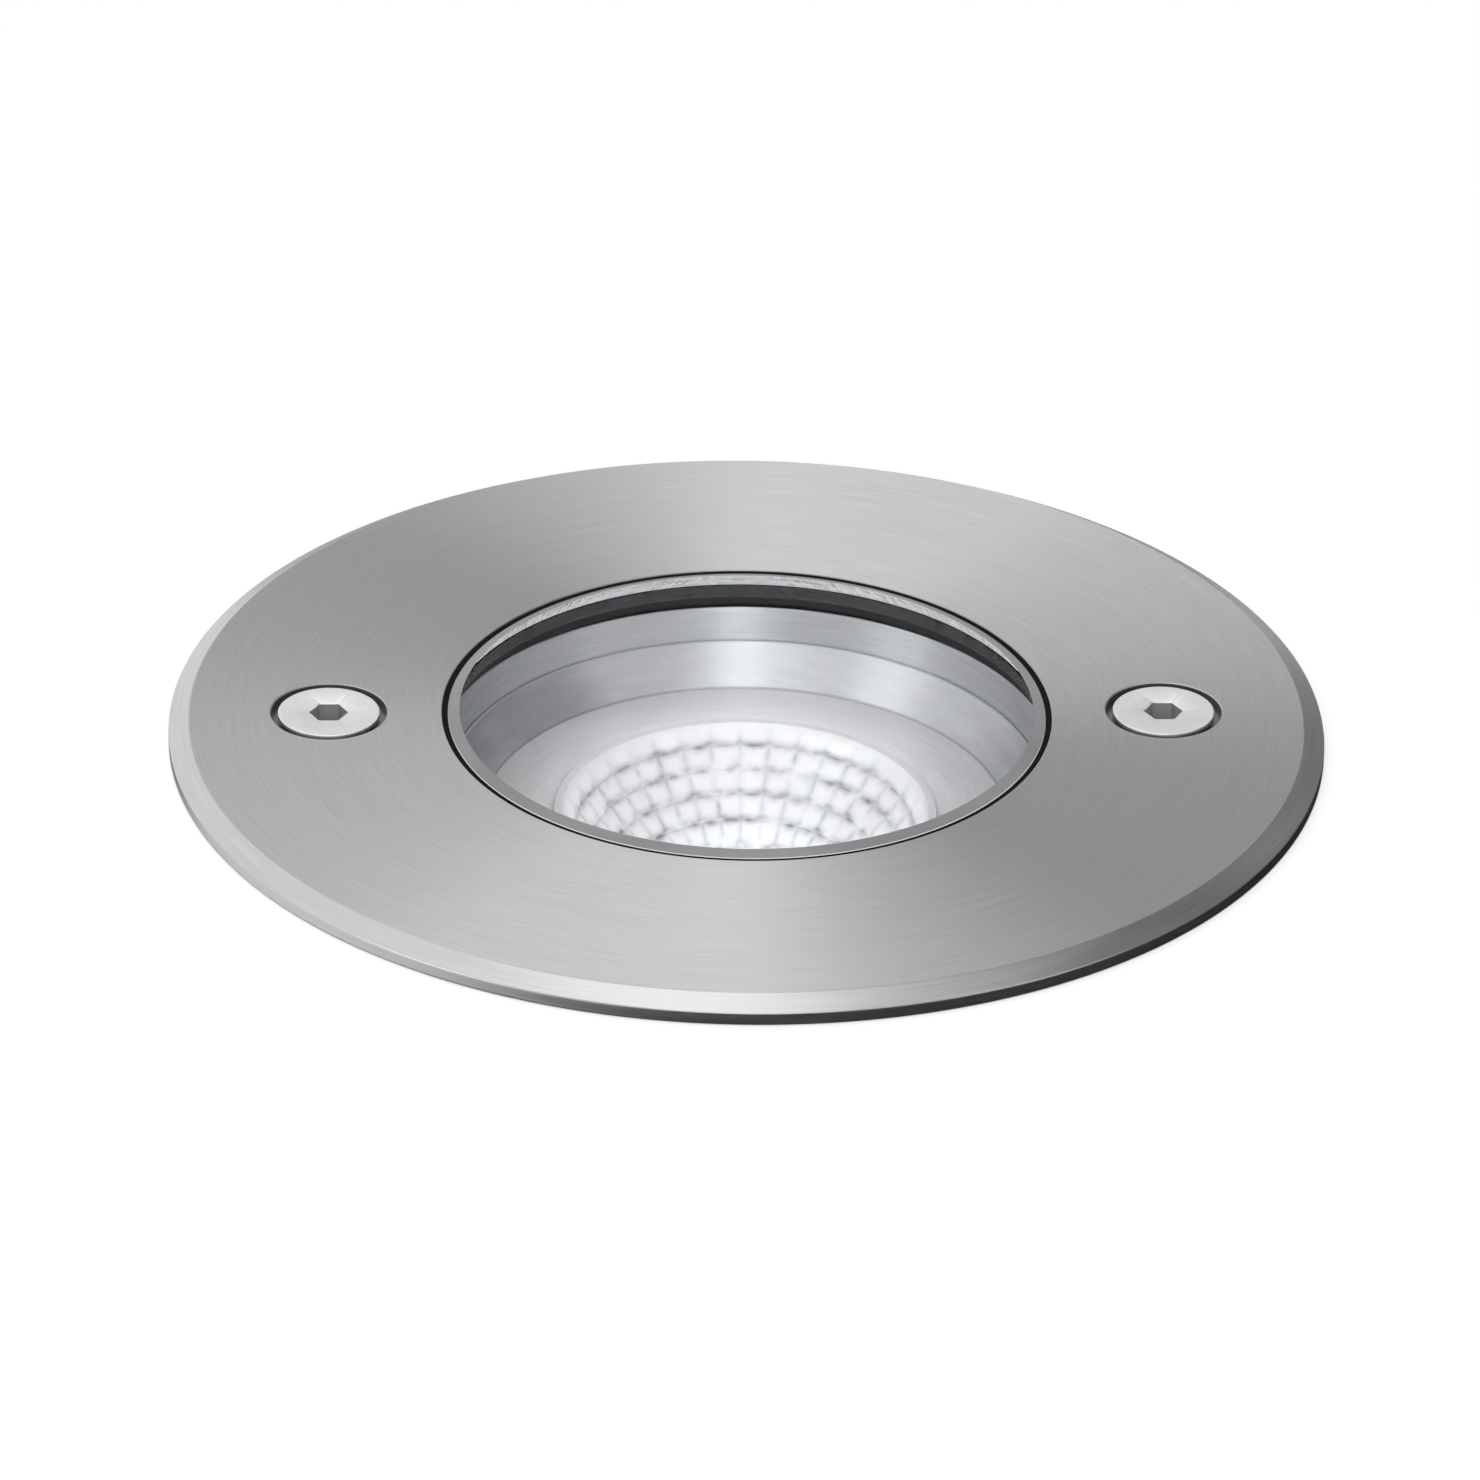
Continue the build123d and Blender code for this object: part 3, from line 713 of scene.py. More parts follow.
def clear_glass(rgb):
    """Clear glass with faint wipe marks, which lets lamps through."""
    material, tree, shader = new_finish("clear_glass")
    inputs = {
        "Base Color": ramp(tree, grain(tree, 40, 5), rgb, 0.985, 1.0),
        "Roughness": 0.0,
        "Transmission Weight": 1.0,
        "IOR": 1.5,
    }
    feed(shader, inputs)
    shadow = value(tree, "ShaderNodeLightPath", output="Is Shadow Ray")
    through = value(tree, "ShaderNodeBsdfTransparent", {"Color": plain(rgb)})
    both = {0: shadow, 1: Value(tree, shader.outputs[0]), 2: through}
    show(tree, value(tree, "ShaderNodeMixShader", both))
    return material


def bright_facets(rgb):
    """Bright anodised aluminium with a faint haze, and painted shade, unevenly darker, in the folds between
    facets.
    """
    material, tree, shader = new_finish("bright_facets")
    haze = grain(tree, 500, 4)
    fold = value(tree, "ShaderNodeAttribute", output="Fac", attribute_name="fold")
    # Painted shade: the colour darkens in the folds between facets
    bright = 1.0 - fold * spread(tree, grain(tree, 420, 2), 0.05, 0.85)
    inputs = {
        "Base Color": arrow(tree, "SCALE", {0: ramp(tree, haze, rgb, 0.97, 1.03), "Scale": bright}),
        "Roughness": spread(tree, haze, 0.3, 0.36),
        "Metallic": 0.3,
    }
    feed(shader, inputs)
    return material


def lit_source(rgb, strength):
    """Lit phosphor with a fine grain."""
    material, tree, shader = new_finish("lit_phosphor")
    tint = ramp(tree, grain(tree, 1500), rgb, 0.95, 1.0)
    inputs = {
        "Base Color": tint,
        "Emission Color": tint,
        "Emission Strength": strength,
        "Roughness": 0.6,
    }
    feed(shader, inputs)
    return material


def pale_ground(rgb, glow):
    """Pale paper that reaches white in full light and keeps the shadow."""
    material, tree, shader = new_finish("pale_ground")
    inputs = {
        "Base Color": ramp(tree, grain(tree, 400), rgb, 0.99, 1.0),
        "Roughness": 1.0,
        "Specular IOR Level": 0.0,
    }
    feed(shader, inputs)
    light = value(tree, "ShaderNodeEmission", {"Strength": seen_directly(tree) * glow})
    show(tree, value(tree, "ShaderNodeAddShader", {0: Value(tree, shader.outputs[0]), 1: light}))
    return material


def shade_finish(name, level):
    """A card of even tone."""
    material = bpy.data.materials.new(name)
    tree = emptied(material)
    tone = value(tree, "ShaderNodeEmission", {"Color": (level, level, level, 1), "Strength": 1.0})
    show(tree, tone, "ShaderNodeOutputMaterial")
    return material


# Geometry node trees


def new_tree(name, counts, lengths):
    """An empty geometry tree with named inputs, and their values in order."""
    tree = bpy.data.node_groups.new(name, "GeometryNodeTree")
    titles = (*counts, *lengths)
    for title in titles:
        kind = "NodeSocketInt" if title in counts else "NodeSocketFloat"
        tree.interface.new_socket(title, in_out="INPUT", socket_type=kind)
    tree.interface.new_socket("Geometry", in_out="OUTPUT", socket_type="NodeSocketGeometry")
    given = tree.nodes.new("NodeGroupInput").outputs
    return tree, [Value(tree, given[title]) for title in titles]


def close_tree(tree, geometry, material):
    """Ends a tree: smooth faces, realized instances and the material."""
    shaded = value(tree, "GeometryNodeSetShadeSmooth", {"Geometry": geometry})
    real = value(tree, "GeometryNodeRealizeInstances", {"Geometry": shaded})
    painted = value(tree, "GeometryNodeSetMaterial", {"Geometry": real, "Material": material})
    feed(tree.nodes.new("NodeGroupOutput"), {0: painted})


def grow(tree, name, values):
    """The plain mesh that a tree makes from the given inputs."""
    thing = loose(bpy.data.meshes.new(name))
    grower = thing.modifiers.new(name, "NODES")
    grower.node_group = tree
    for item in tree.interface.items_tree:
        if item.in_out == "INPUT":
            grower[item.identifier] = values[item.name]
    mesh = evaluated(thing)
    empty = thing.data
    bpy.data.objects.remove(thing)
    bpy.data.meshes.remove(empty)
    return mesh


def facet_tree(material):
    """A bowl of pillow facets in rows and columns, given a wall by moving its outside away from the axis."""
    counts = ("Columns", "Rows", "Steps")
    lengths = ("Mouth", "Throat", "Height", "Top", "Wall", "Pillow", "Flatness", "Sideways", "Curve")
    tree, given = new_tree("facet_bowl", counts, lengths)
    columns, rows, steps, mouth, throat, height, top, wall, pillow, flatness, sideways, curve = given
    sizes = {"Size X": 1, "Size Y": 1, "Vertices X": columns * steps + 1, "Vertices Y": rows * steps + 1}
    sheet = value(tree, "GeometryNodeMeshGrid", sizes, "Mesh")
    x, y, _ = split(tree, value(tree, "GeometryNodeInputPosition"))
    across, down = (x + 0.5) * columns, (y + 0.5) * rows
    in_column, in_row, row = across.calc("FRACT"), down.calc("FRACT"), down.calc("FLOOR")
    span = mouth - throat

    def bowl(at):
        return mouth - span * (at / rows) ** curve

    def side(part, power):
        return (part * 2 - 1).calc("ABSOLUTE") ** power

    def swell(part):
        return 1 - side(part, flatness)

    upper, lower = bowl(row), bowl(row + 1)
    corner = upper + (lower - upper) * in_row
    half = pi / columns
    aside = (in_column * 2 - 1) * half
    faceted = down.calc("MINIMUM", 1)
    flat = 1 + (half.calc("COSINE") / aside.calc("COSINE") - 1) * faceted
    bowed = (in_row + side(in_column, 2) * ROW_BOW).calc("FRACT")
    # Mask for the painted shade in the folds between rows and columns of facets
    fold = side(bowed, ROW_FOLD).calc("MAXIMUM", side(in_column, COLUMN_FOLD) * COLUMN_SHADE) * faceted
    marks = {"Geometry": sheet, "Name": "fold", "Value": fold}
    sheet = value(tree, "GeometryNodeStoreNamedAttribute", marks, data_type="FLOAT", domain="POINT")
    rise = (swell(in_row) + swell(in_column) * (sideways * faceted)) * pillow * (corner / mouth)
    slope = span.calc("ARCTAN2", height)
    radius = corner * flat - rise * slope.calc("COSINE")
    level = top - down / rows * height + rise * slope.calc("SINE")
    angle = across * (half * 2)
    place = combined(tree, radius * angle.calc("COSINE"), radius * angle.calc("SINE"), level)
    inside = value(tree, "GeometryNodeSetPosition", {"Geometry": sheet, "Position": place})
    whole = value(tree, "GeometryNodeMergeByDistance", {"Geometry": inside, "Distance": SEAM})
    level_out = arrow(tree, "MULTIPLY", {0: value(tree, "GeometryNodeInputPosition"), 1: (1, 1, 0)})
    offset = arrow(tree, "SCALE", {0: arrow(tree, "NORMALIZE", {0: level_out}), "Scale": wall})
    moved = {"Mesh": whole, "Offset": offset, "Offset Scale": 1.0, "Individual": False}
    outside = value(tree, "GeometryNodeExtrudeMesh", moved, "Mesh")
    turned_in = value(tree, "GeometryNodeFlipFaces", {"Mesh": whole})
    shells = tree.nodes.new("GeometryNodeJoinGeometry")
    for shell in (outside, turned_in):
        feed(shells, {0: shell})
    both = {"Geometry": Value(tree, shells.outputs[0]), "Distance": SEAM}
    close_tree(tree, value(tree, "GeometryNodeMergeByDistance", both), material)
    return tree


def thread_tree(material):
    """A helical ridge round a shank."""
    tree, given = new_tree("screw_thread", (), ("Turns", "Radius", "Length", "Ridge"))
    turns, radius, length, ridge = given
    helix = {"Resolution": 40, "Rotations": turns, "Height": length}
    helix.update({"Start Radius": radius, "End Radius": radius})
    path = value(tree, "GeometryNodeCurveSpiral", helix)
    profile = value(tree, "GeometryNodeCurvePrimitiveCircle", {"Resolution": 4, "Radius": ridge})
    swept = {"Curve": path, "Profile Curve": profile, "Fill Caps": True}
    close_tree(tree, value(tree, "GeometryNodeCurveToMesh", swept), material)
    return tree


# Operators, one for each piece or group of like pieces


class GROUNDLIGHT_OT_trim(bpy.types.Operator):
    """Make the brushed trim ring with its bevel, relief and screw seats"""

    bl_idname = "groundlight.trim"
    bl_label = "Trim ring"

    def execute(self, context):
        s = settings("trim")
        low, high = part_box("trim_ring")
        outline = [
            (s.opening, low.z),
            (s.hub, low.z),
            (s.hub, s.relief_depth),
            (s.relief, s.relief_depth),
            (s.relief, 0.0),
            (high.x, 0.0),
            (high.x, high.z - s.bevel_drop, s.rim),
            (high.x - s.bevel_width, high.z),
            (s.opening, high.z),
        ]
        mesh = turned("trim_ring", outline, s.crisp, 384)
        centres = [Vector(centre) for centre in screw_centres().values()]
        seats = bmesh.new()
        for centre in centres:
            spin(seats, self.seat(s, low.z, high.z), 128, centre)
        mesh = cut(mesh, seats, 30)
        face = brushed("brushed_stainless", s.steel, s.rough, s.grain, TRIM_LINES)
        edge = brushed("turned_rim", s.rim_steel, s.edge_rough, 0.5, TRIM_LINES)
        # The seats' darker colour is painted shade in the recesses
        seat = brushed("milled_seat_painted_shade", s.seat_shade_steel, 0.5, 0.0, TRIM_LINES)
        piece = finish_piece(mesh, "trim_ring", "trim", "brushed_stainless", face, edge, seat)

        def choose(place, normal):
            if place.xy.length > high.x - s.bevel_width + s.crisp:
                return 1
            near = min((place.xy - centre).length for centre in centres)
            # Faces of the recess round each screw head take the painted shade
            return 2 if place.z < high.z - s.crisp and near < s.mouth + s.crisp / 2 else 0

        paint(piece, choose)
        return {"FINISHED"}

    def seat(self, s, bottom, top):
        """Rings of one stepped screw seat, with a broken edge at the surface."""
        ledge = top - s.seat_drop
        clear = s.seat_drop
        return [
            (0.0, bottom - clear),
            (s.hole, bottom - clear),
            (s.hole, ledge - (s.seat - s.hole)),
            (s.seat, ledge),
            (s.mouth, ledge),
            (s.mouth, top - s.crisp),
            (s.mouth + s.crisp, top),
            (s.mouth + s.crisp, top + clear),
            (0.0, top + clear),
        ]


class GROUNDLIGHT_OT_glass(bpy.types.Operator):
    """Make the glass lens with its ground edge, its bond line and the gasket under it"""

    bl_idname = "groundlight.glass"
    bl_label = "Glass, seal and gasket"

    def execute(self, context):
        s = settings("glass")
        rubber = moulded("black_rubber", s.rubber, 0.75, specular=0.1)
        low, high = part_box("glass_lens")
        outline = [
            (0.0, low.z),
            (high.x, low.z),
            (high.x, high.z - s.drop),
            (high.x - s.bevel, high.z),
            (0.0, high.z),
        ]
        mesh = turned("glass_lens", outline, s.drop / 8)
        glass = clear_glass(s.tint)
        # The ground edge's glow is painted light
        edge = moulded("ground_edge", s.ground, 0.6, 3000, 0.05, glow=s.edge_painted_glow)
        bevel = moulded("ground_bevel", s.bevel_tone, 0.35, 3000, 0.05)
        piece = finish_piece(mesh, "glass_lens", "trim", "clear_glass", glass, edge, bevel)
        limit = high.x - s.bevel * 1.02
        # Upward parts of the normals that part the underside, edge, bevel and face of the glass
        underside, edge_top, face_start = -0.95, 0.5, 0.98

        def choose(place, normal):
            if place.xy.length > limit and underside < normal.z < face_start:
                return 1 if normal.z < edge_top else 2
            return 0

        paint(piece, choose)
        self.seal(s, rubber, high.x)
        self.gasket(s, rubber, high.x)
        return {"FINISHED"}

    def seal(self, s, rubber, glass):
        """The bond line, with a softly rounded top."""
        low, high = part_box("glass_seal")
        outline = [(glass, low.z), (high.x, low.z), (high.x, high.z), (glass, high.z, s.drop / 3)]
        mesh = turned("glass_seal", outline, s.drop / 20)
        finish_piece(mesh, "glass_seal", "trim", "black_silicone", rubber)

    def gasket(self, s, rubber, glass):
        """The gasket with its lip under the glass and its screw holes."""
        low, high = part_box("face_gasket")
        wall = settings("lamp").mouth
        outline = [
            (wall, low.z),
            (high.x, low.z),
            (high.x, high.z),
            (glass - s.lap, high.z),
            (glass - s.lap, high.z - s.lip),
            (wall, high.z - s.lip),
        ]
        mesh = turned("face_gasket", outline, s.lap / 3)
        holes = bmesh.new()
        for centre in screw_centres().values():
            pillar(holes, settings("trim").hole, low.z - s.lap, high.z + s.lap, centre)
        finish_piece(cut(mesh, holes), "face_gasket", "lamp_unit", "black_silicone", rubber)


class GROUNDLIGHT_OT_screws(bpy.types.Operator):
    """Make the two socket screws with threads, and the ring seals under their heads"""

    bl_idname = "groundlight.screws"
    bl_label = "Trim screws"

    def execute(self, context):
        s = settings("screws")
        rubber = bpy.data.materials["black_rubber"]
        for side, centre in screw_centres().items():
            turning = {"per_metre": SCREW_LINES, "breaks": 4.0, "centre": centre, "relief": 0.1}
            steel = brushed(side + "_turned_stainless", s.steel, 0.45, 0.0, **turning)
            # The socket's darker finish is painted shade in the recess
            socket = brushed(side + "_socket_painted_shade", s.socket_shade_steel, 0.5, 0.0, **turning)
            node = side + "_screw"
            mesh = self.screw(s, node, centre, steel)
            piece = finish_piece(mesh, node, side + "_fixing", "screw_stainless", steel, socket)
            self.darken(s, piece, Vector(centre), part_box(node)[1].z)
            node = side + "_screw_oring"
            low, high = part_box(node)
            radius = (high.x - low.x) / 2 - s.seal
            mesh = ring_seal(node, radius, s.seal, (low.z + high.z) / 2, 96, centre)
            finish_piece(mesh, node, side + "_seal", "black_silicone", rubber)
        return {"FINISHED"}

    def darken(self, s, piece, centre, top):
        """Gives the socket's walls and floor a darker finish, which is painted shade in the recess."""
        corner = hexagon_corner(s.socket)

        def choose(place, normal):
            inside = (place.xy - centre).length < corner
            return int(inside and top - 2 * s.socket_depth < place.z < top - s.land / 4)

        paint(piece, choose)

    def screw(self, s, node, centre, steel):
        """One screw: a softened head with a hexagon socket, a shank and its thread."""
        low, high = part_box(node)
        head = (high.x - low.x) / 2
        edge = high.z - s.land
        neck = edge - (head - s.shank)
        root = s.shank - s.thread
        start = neck - s.plain
        soft = s.land / 4
        socket = hexagon_corner(s.socket)
        floor = high.z - s.socket_depth
        rings = [
            (0.0, floor - s.socket / 4),
            (socket, floor, s.socket),
            (socket, high.z - soft, s.socket),
            (socket + soft, high.z),
            (head - 2 * soft, high.z),
            (head - soft, high.z),
            (head - soft / 3, high.z - soft / 3),
            (head, high.z - soft),
            (head, edge),
            (s.shank, neck),
            (s.shank, start + s.thread),
            (root, start),
            (root, low.z + s.tip),
            (root - s.tip, low.z),
            (0.0, low.z),
        ]
        mesh = spun(node, rings, 120, 30, centre)
        turns = int((start - low.z - s.tip - s.pitch) / s.pitch)
        values = {"Turns": turns, "Radius": root, "Length": -turns * s.pitch, "Ridge": s.thread}
        thread = grow(thread_tree(steel), node + "_thread", values)
        thread.transform(Matrix.Translation((*centre, start - s.thread)))
        return to_mesh(taken(mesh, thread), node, 30)


class GROUNDLIGHT_OT_lamp_body(bpy.types.Operator):
    """Make the cast lamp body with its machined throat, and the turned dish in it"""

    bl_idname = "groundlight.lamp_body"
    bl_label = "Lamp body and dish"

    def execute(self, context):
        s = settings("lamp")
        cast = blasted("cast_aluminium", s.cast, 0.5)
        machined = brushed("turned_aluminium", s.turned, 0.45, 0.9, LAMP_LINES, 4.0)
        low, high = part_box("lamp_body")
        dish_low, dish_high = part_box("reflector_bezel")
        inside = s.can - s.wall
        ledge = dish_low.z - s.shoulder
        outline = [
            (s.mouth, high.z),
            (high.x, high.z),
            (high.x, high.z - s.flange),
            (s.can, high.z - s.flange, s.wall / 2),
            (s.can, low.z),
            (inside, low.z),
            (inside, ledge),
            (s.shoulder_hole, ledge),
            (s.shoulder_hole, dish_low.z),
            (s.throat, dish_low.z),
            (s.throat, dish_high.z),
        ]
        mesh = turned("lamp_body", outline, s.wall / 12)
        posts, holes = bmesh.new(), bmesh.new()
        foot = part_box("heat_sink")[1].z
        for index in range(s.posts):
            angle = pi / 2 + 2 * pi * index / s.posts
            centre = (s.post_pitch * cos(angle), s.post_pitch * sin(angle))
            pillar(posts, s.post, foot, ledge + s.shoulder / 2, centre, 48)
            pillar(holes, s.tap, foot - s.tap_depth, foot + s.tap_depth, centre, 32)
        for centre in screw_centres().values():
            pillar(holes, s.screw_hole, high.z - 2 * s.flange, high.z + s.flange, centre)
        mesh = cut(cut(mesh, posts, operation="UNION"), holes)
        piece = finish_piece(mesh, "lamp_body", "lamp_unit", "cast_aluminium", cast, machined)
        paint(piece, lambda place, normal: int(place.xy.length < s.mouth + s.lip and place.z > dish_low.z))
        self.dish(s, dish_low, dish_high)
        return {"FINISHED"}

    def dish(self, s, low, high):
        """The turned dish: a lip, a tapered wall and a flat floor with a hole."""
        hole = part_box("reflector")[1].x + s.fit
        top = low.z + s.floor
        outline = [
            (hole, low.z),
            (high.x, low.z),
            (high.x, high.z, 0.0),
            (high.x - s.lip, high.z),
            (high.x - s.lip - s.taper, top, s.lip * 0.6),
            (hole, top),
        ]
        mesh = turned("reflector_bezel", outline, s.lip / 4)
        wall = brushed("turned_dish", s.dish, 0.4, 0.8, LAMP_LINES, 4.0)
        # The floor's lighter tone is painted light from the lit reflector
        floor = brushed("dish_floor_painted_light", s.dish_floor, 0.4, 0.7, LAMP_LINES, 4.0, metal=0.65)
        # Darker tone round the floor's edge is painted shade in the corner
        mark = brushed("dish_corner_painted_shade", s.corner, 0.5, 0.8, LAMP_LINES, 4.0)
        piece = finish_piece(mesh, "reflector_bezel", "lamp_unit", "turned_aluminium", wall, floor, mark)
        # Upward parts of the normals that part the floor, the corner's painted shade and the wall
        level, sloped = 0.95, 0.4

        def choose(place, normal):
            if normal.z > level:
                return 1
            return 2 if normal.z > sloped and place.z < top + s.lip else 0

        paint(piece, choose)


class GROUNDLIGHT_OT_reflector(bpy.types.Operator):
    """Grow the faceted reflector, and make the light source under it"""

    bl_idname = "groundlight.reflector"
    bl_label = "Reflector and light source"

    def execute(self, context):
        s = settings("reflector")
        facets = bright_facets(s.bright)
        low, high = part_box("reflector")
        titles = ("Columns", "Rows", "Steps", "Mouth", "Throat", "Wall")
        titles += ("Pillow", "Flatness", "Sideways", "Curve")
        values = {title: getattr(s, title.lower()) for title in titles}
        values.update(Height=high.z - low.z, Top=high.z)
        bowl = grow(facet_tree(facets), "reflector", values)
        mesh = to_mesh(taken(bowl), "reflector", 15)
        finish_piece(mesh, "reflector", "lamp_unit", "bright_reflector", facets)
        self.source(s)
        return {"FINISHED"}

    def source(self, s):
        """A slightly domed lit disc."""
        low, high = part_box("led_emitter")
        thick = high.z - low.z
        outline = [
            (0.0, low.z),
            (high.x, low.z),
            (high.x, high.z - thick / 2),
            (high.x * 0.8, high.z, thick),
            (0.0, high.z),
        ]
        mesh = turned("led_emitter", outline, thick / 4, 128)
        finish_piece(mesh, "led_emitter", "lamp_unit", "lit_phosphor", lit_source(s.phosphor, s.glow))


class GROUNDLIGHT_OT_inner_parts(bpy.types.Operator):
    """Dress the heat sink, driver, board, holder, terminals, leads and small screws inside the lamp"""

    bl_idname = "groundlight.inner_parts"
    bl_label = "Inner parts"

    def execute(self, context):
        s = settings("inner")
        small_screws = ("led_holder_screws", "heat_sink_screws", "driver_screws")
        finishes = (
            (blasted("plated_screw", s.plated, 0.35), small_screws),
            (blasted("machined_sink", s.sink, 0.42), ("heat_sink",)),
            (moulded("driver_case", s.driver, 0.5), ("led_driver",)),
            (moulded("lead_insulation", s.leads, 0.5), ("led_leads",)),
            (moulded("white_board", s.board, 0.4), ("led_board",)),
            (moulded("white_plastic", s.white, 0.45), ("led_holder", "terminal_block")),
        )
        for material, nodes in finishes:
            for node in nodes:
                dress(node, material)
        return {"FINISHED"}


class GROUNDLIGHT_OT_base(bpy.types.Operator):
    """Make the base cover with its seal, and the cable gland"""

    bl_idname = "groundlight.base"
    bl_label = "Base cover and gland"

    def execute(self, context):
        s = settings("base")
        rubber = bpy.data.materials["black_rubber"]
        self.cover(s, rubber)
        self.gland(s, rubber)
        return {"FINISHED"}

    def cover(self, s, rubber):
        """The cap with blind spanner holes. Its spigot stays inside the can."""
        low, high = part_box("base_cover")
        seal_low, seal_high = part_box("base_oring")
        section = seal_high.z - seal_low.z
        shelf = low.z + s.thick
        spigot = settings("lamp").can - settings("lamp").wall - s.spigot_fit
        hollow = spigot - s.spigot_wall
        groove_top = seal_high.z + seal_low.z - shelf
        outline = [
            (s.hole, low.z),
            (high.x, low.z, s.thick / 4),
            (high.x, shelf),
            (spigot - section, shelf),
            (spigot - section, groove_top),
            (spigot, groove_top),
            (spigot, high.z),
            (hollow, high.z),
            (hollow, shelf),
            (s.hole, shelf),
        ]
        mesh = turned("base_cover", outline, s.thick / 20)
        holes = bmesh.new()
        for side in (-1, 1):
            pillar(holes, s.spanner, low.z - s.thick, low.z + s.spanner_depth, (side * s.spanner_pitch, 0.0))
        cast = bpy.data.materials["cast_aluminium"]
        finish_piece(cut(mesh, holes), "base_cover", "lamp_unit", "cast_aluminium", cast)
        middle = (seal_low.z + seal_high.z) / 2
        mesh = ring_seal("base_oring", seal_high.x - section / 2, section / 2, middle, 192)
        finish_piece(mesh, "base_oring", "lamp_unit", "black_silicone", rubber)

    def gland(self, s, rubber):
        """The gland's hexagon, stem and bevelled nut. The bush, washer and locknut keep their solids."""
        nylon = moulded("gland_nylon", s.nylon, 0.4, 1400)
        dress("gland_locknut", nylon)
        for node in ("gland_seal", "gland_washer"):
            dress(node, rubber)
        low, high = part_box("gland_body")
        corner = hexagon_corner(s.flats)
        soft = s.flats / 40
        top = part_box("gland_washer")[0].z
        bottom = top - s.hexagon
        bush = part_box("gland_seal")[1].z
        body = [
            (s.bore, high.z),
            (s.thread - soft, high.z),
            (s.thread, high.z - soft),
            (s.thread, top),
            (corner - soft, top, s.flats),
            (corner, top - soft, s.flats),
            (corner, bottom + soft, s.flats),
            (corner - soft, bottom, s.flats),
            (s.thread, bottom),
            (s.thread, low.z),
            (s.bore + 2 * soft, low.z),
            (s.bore + 2 * soft, bush),
            (s.bore, bush),
        ]
        low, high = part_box("gland_nut")
        nut = [
            (s.hole, high.z),
            (corner - soft, high.z, s.flats),
            (corner, high.z - soft, s.flats),
            (corner, low.z + s.nut_bevel, s.flats),
            (corner - s.nut_bevel / 2, low.z + s.nut_bevel / 2, s.flats),
            (corner - s.nut_bevel, low.z),
            (s.nut_hole + soft, low.z),
            (s.nut_hole, low.z + soft),
            (s.nut_hole, low.z + s.nut_end),
            (s.hole, low.z + s.nut_end),
        ]
        for node, rings in {"gland_body": body, "gland_nut": nut}.items():
            finish_piece(spun(node, rings, 180, 25), node, "lamp_unit", "gland_nylon", nylon)


class GROUNDLIGHT_OT_sleeve(bpy.types.Operator):
    """Make the moulded sleeve with its ledge, bosses, grooves and notches, and the brass inserts"""

    bl_idname = "groundlight.sleeve"
    bl_label = "Sleeve and inserts"

    def execute(self, context):
        s = settings("sleeve")
        low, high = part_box("recess_sleeve")
        insert_low, insert_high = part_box("screw_inserts")
        insert = (insert_high.y - insert_low.y) / 2
        mesh = turned("recess_sleeve", self.outline(s, low, high), s.wall / 12, 320)
        bottom = insert_low.z - s.boss_floor
        top = s.ledge_top - s.ledge_thick / 2
        reach = high.x - s.wall / 2
        bosses, webs, tools = bmesh.new(), bmesh.new(), bmesh.new()
        for centre in screw_centres().values():
            pillar(bosses, s.boss, bottom, top, centre, 64)
            near, far = sorted((centre[0], reach * centre[0] / abs(centre[0])))
            block(webs, (near, -s.boss / 2, bottom + s.boss_floor / 2), (far, s.boss / 2, top))
            pillar(tools, insert, insert_low.z, s.ledge_top + s.wall, centre, 64)
        self.notches(tools, s, low.z, high.x)
        for added in (bosses, webs):
            mesh = cut(mesh, added, operation="UNION")
        mesh = cut(mesh, tools)
        plastic = moulded("sleeve_plastic", s.plastic, 0.45, 1500, 0.25)
        finish_piece(mesh, "recess_sleeve", "sleeve", "sleeve_plastic", plastic)
        self.inserts(s, insert, insert_low.z, insert_high.z)
        return {"FINISHED"}

    def outline(self, s, low, high):
        """The tube's outline with its ledge and anchor grooves."""
        inside = high.x - s.wall
        ledge_bottom = s.ledge_top - s.ledge_thick
        outline = [(inside, low.z), (high.x, low.z)]
        pitch = (ledge_bottom - low.z - s.notch_height) / (s.grooves + 1)
        for index in reversed(range(s.grooves)):
            middle = ledge_bottom - (index + 1) * pitch
            for side in (-1, 1):
                level = middle + side * s.groove_width / 2
                rings = [(high.x, level), (high.x - s.groove_depth, level)]
                outline += rings if side < 0 else rings[::-1]
        outline += [
            (high.x, high.z),
            (inside, high.z),
            (inside, s.ledge_top),
            (s.ledge, s.ledge_top),
            (s.ledge, ledge_bottom),
            (inside, ledge_bottom),
        ]
        return outline

    def notches(self, bm, s, bottom, radius):
        """A round-topped prism through both walls."""
        half = s.notch_width / 2
        crown = bottom + s.notch_height - half
        steps = 24
        turns = [pi * step / steps for step in range(steps + 1)]
        shape = [(half * cos(turn), crown + half * sin(turn)) for turn in turns]
        shape += [(-half, bottom - half), (half, bottom - half)]
        ends = []
        for side in (-1, 1):
            ends.append([bm.verts.new((x, side * 1.2 * radius, z)) for x, z in shape])
        near, far = ends
        bm.faces.new(near)
        bm.faces.new(far[::-1])
        for index in range(len(shape)):
            bm.faces.new((near[index - 1], near[index], far[index], far[index - 1]))

    def inserts(self, s, radius, bottom, top):
        """Two brass inserts with a softened mouth."""
        brass = brushed("insert_brass", s.brass, 0.3, 0.4, INSERT_LINES)
        bm = bmesh.new()
        soft = s.insert / 12
        outline = [(s.insert, bottom), (radius, bottom), (radius, top), (s.insert, top, 3 * soft)]
        for centre in screw_centres().values():
            spin(bm, soften(outline, soft), 64, centre)
        finish_piece(to_mesh(bm, "screw_inserts"), "screw_inserts", "sleeve", "insert_brass", brass)


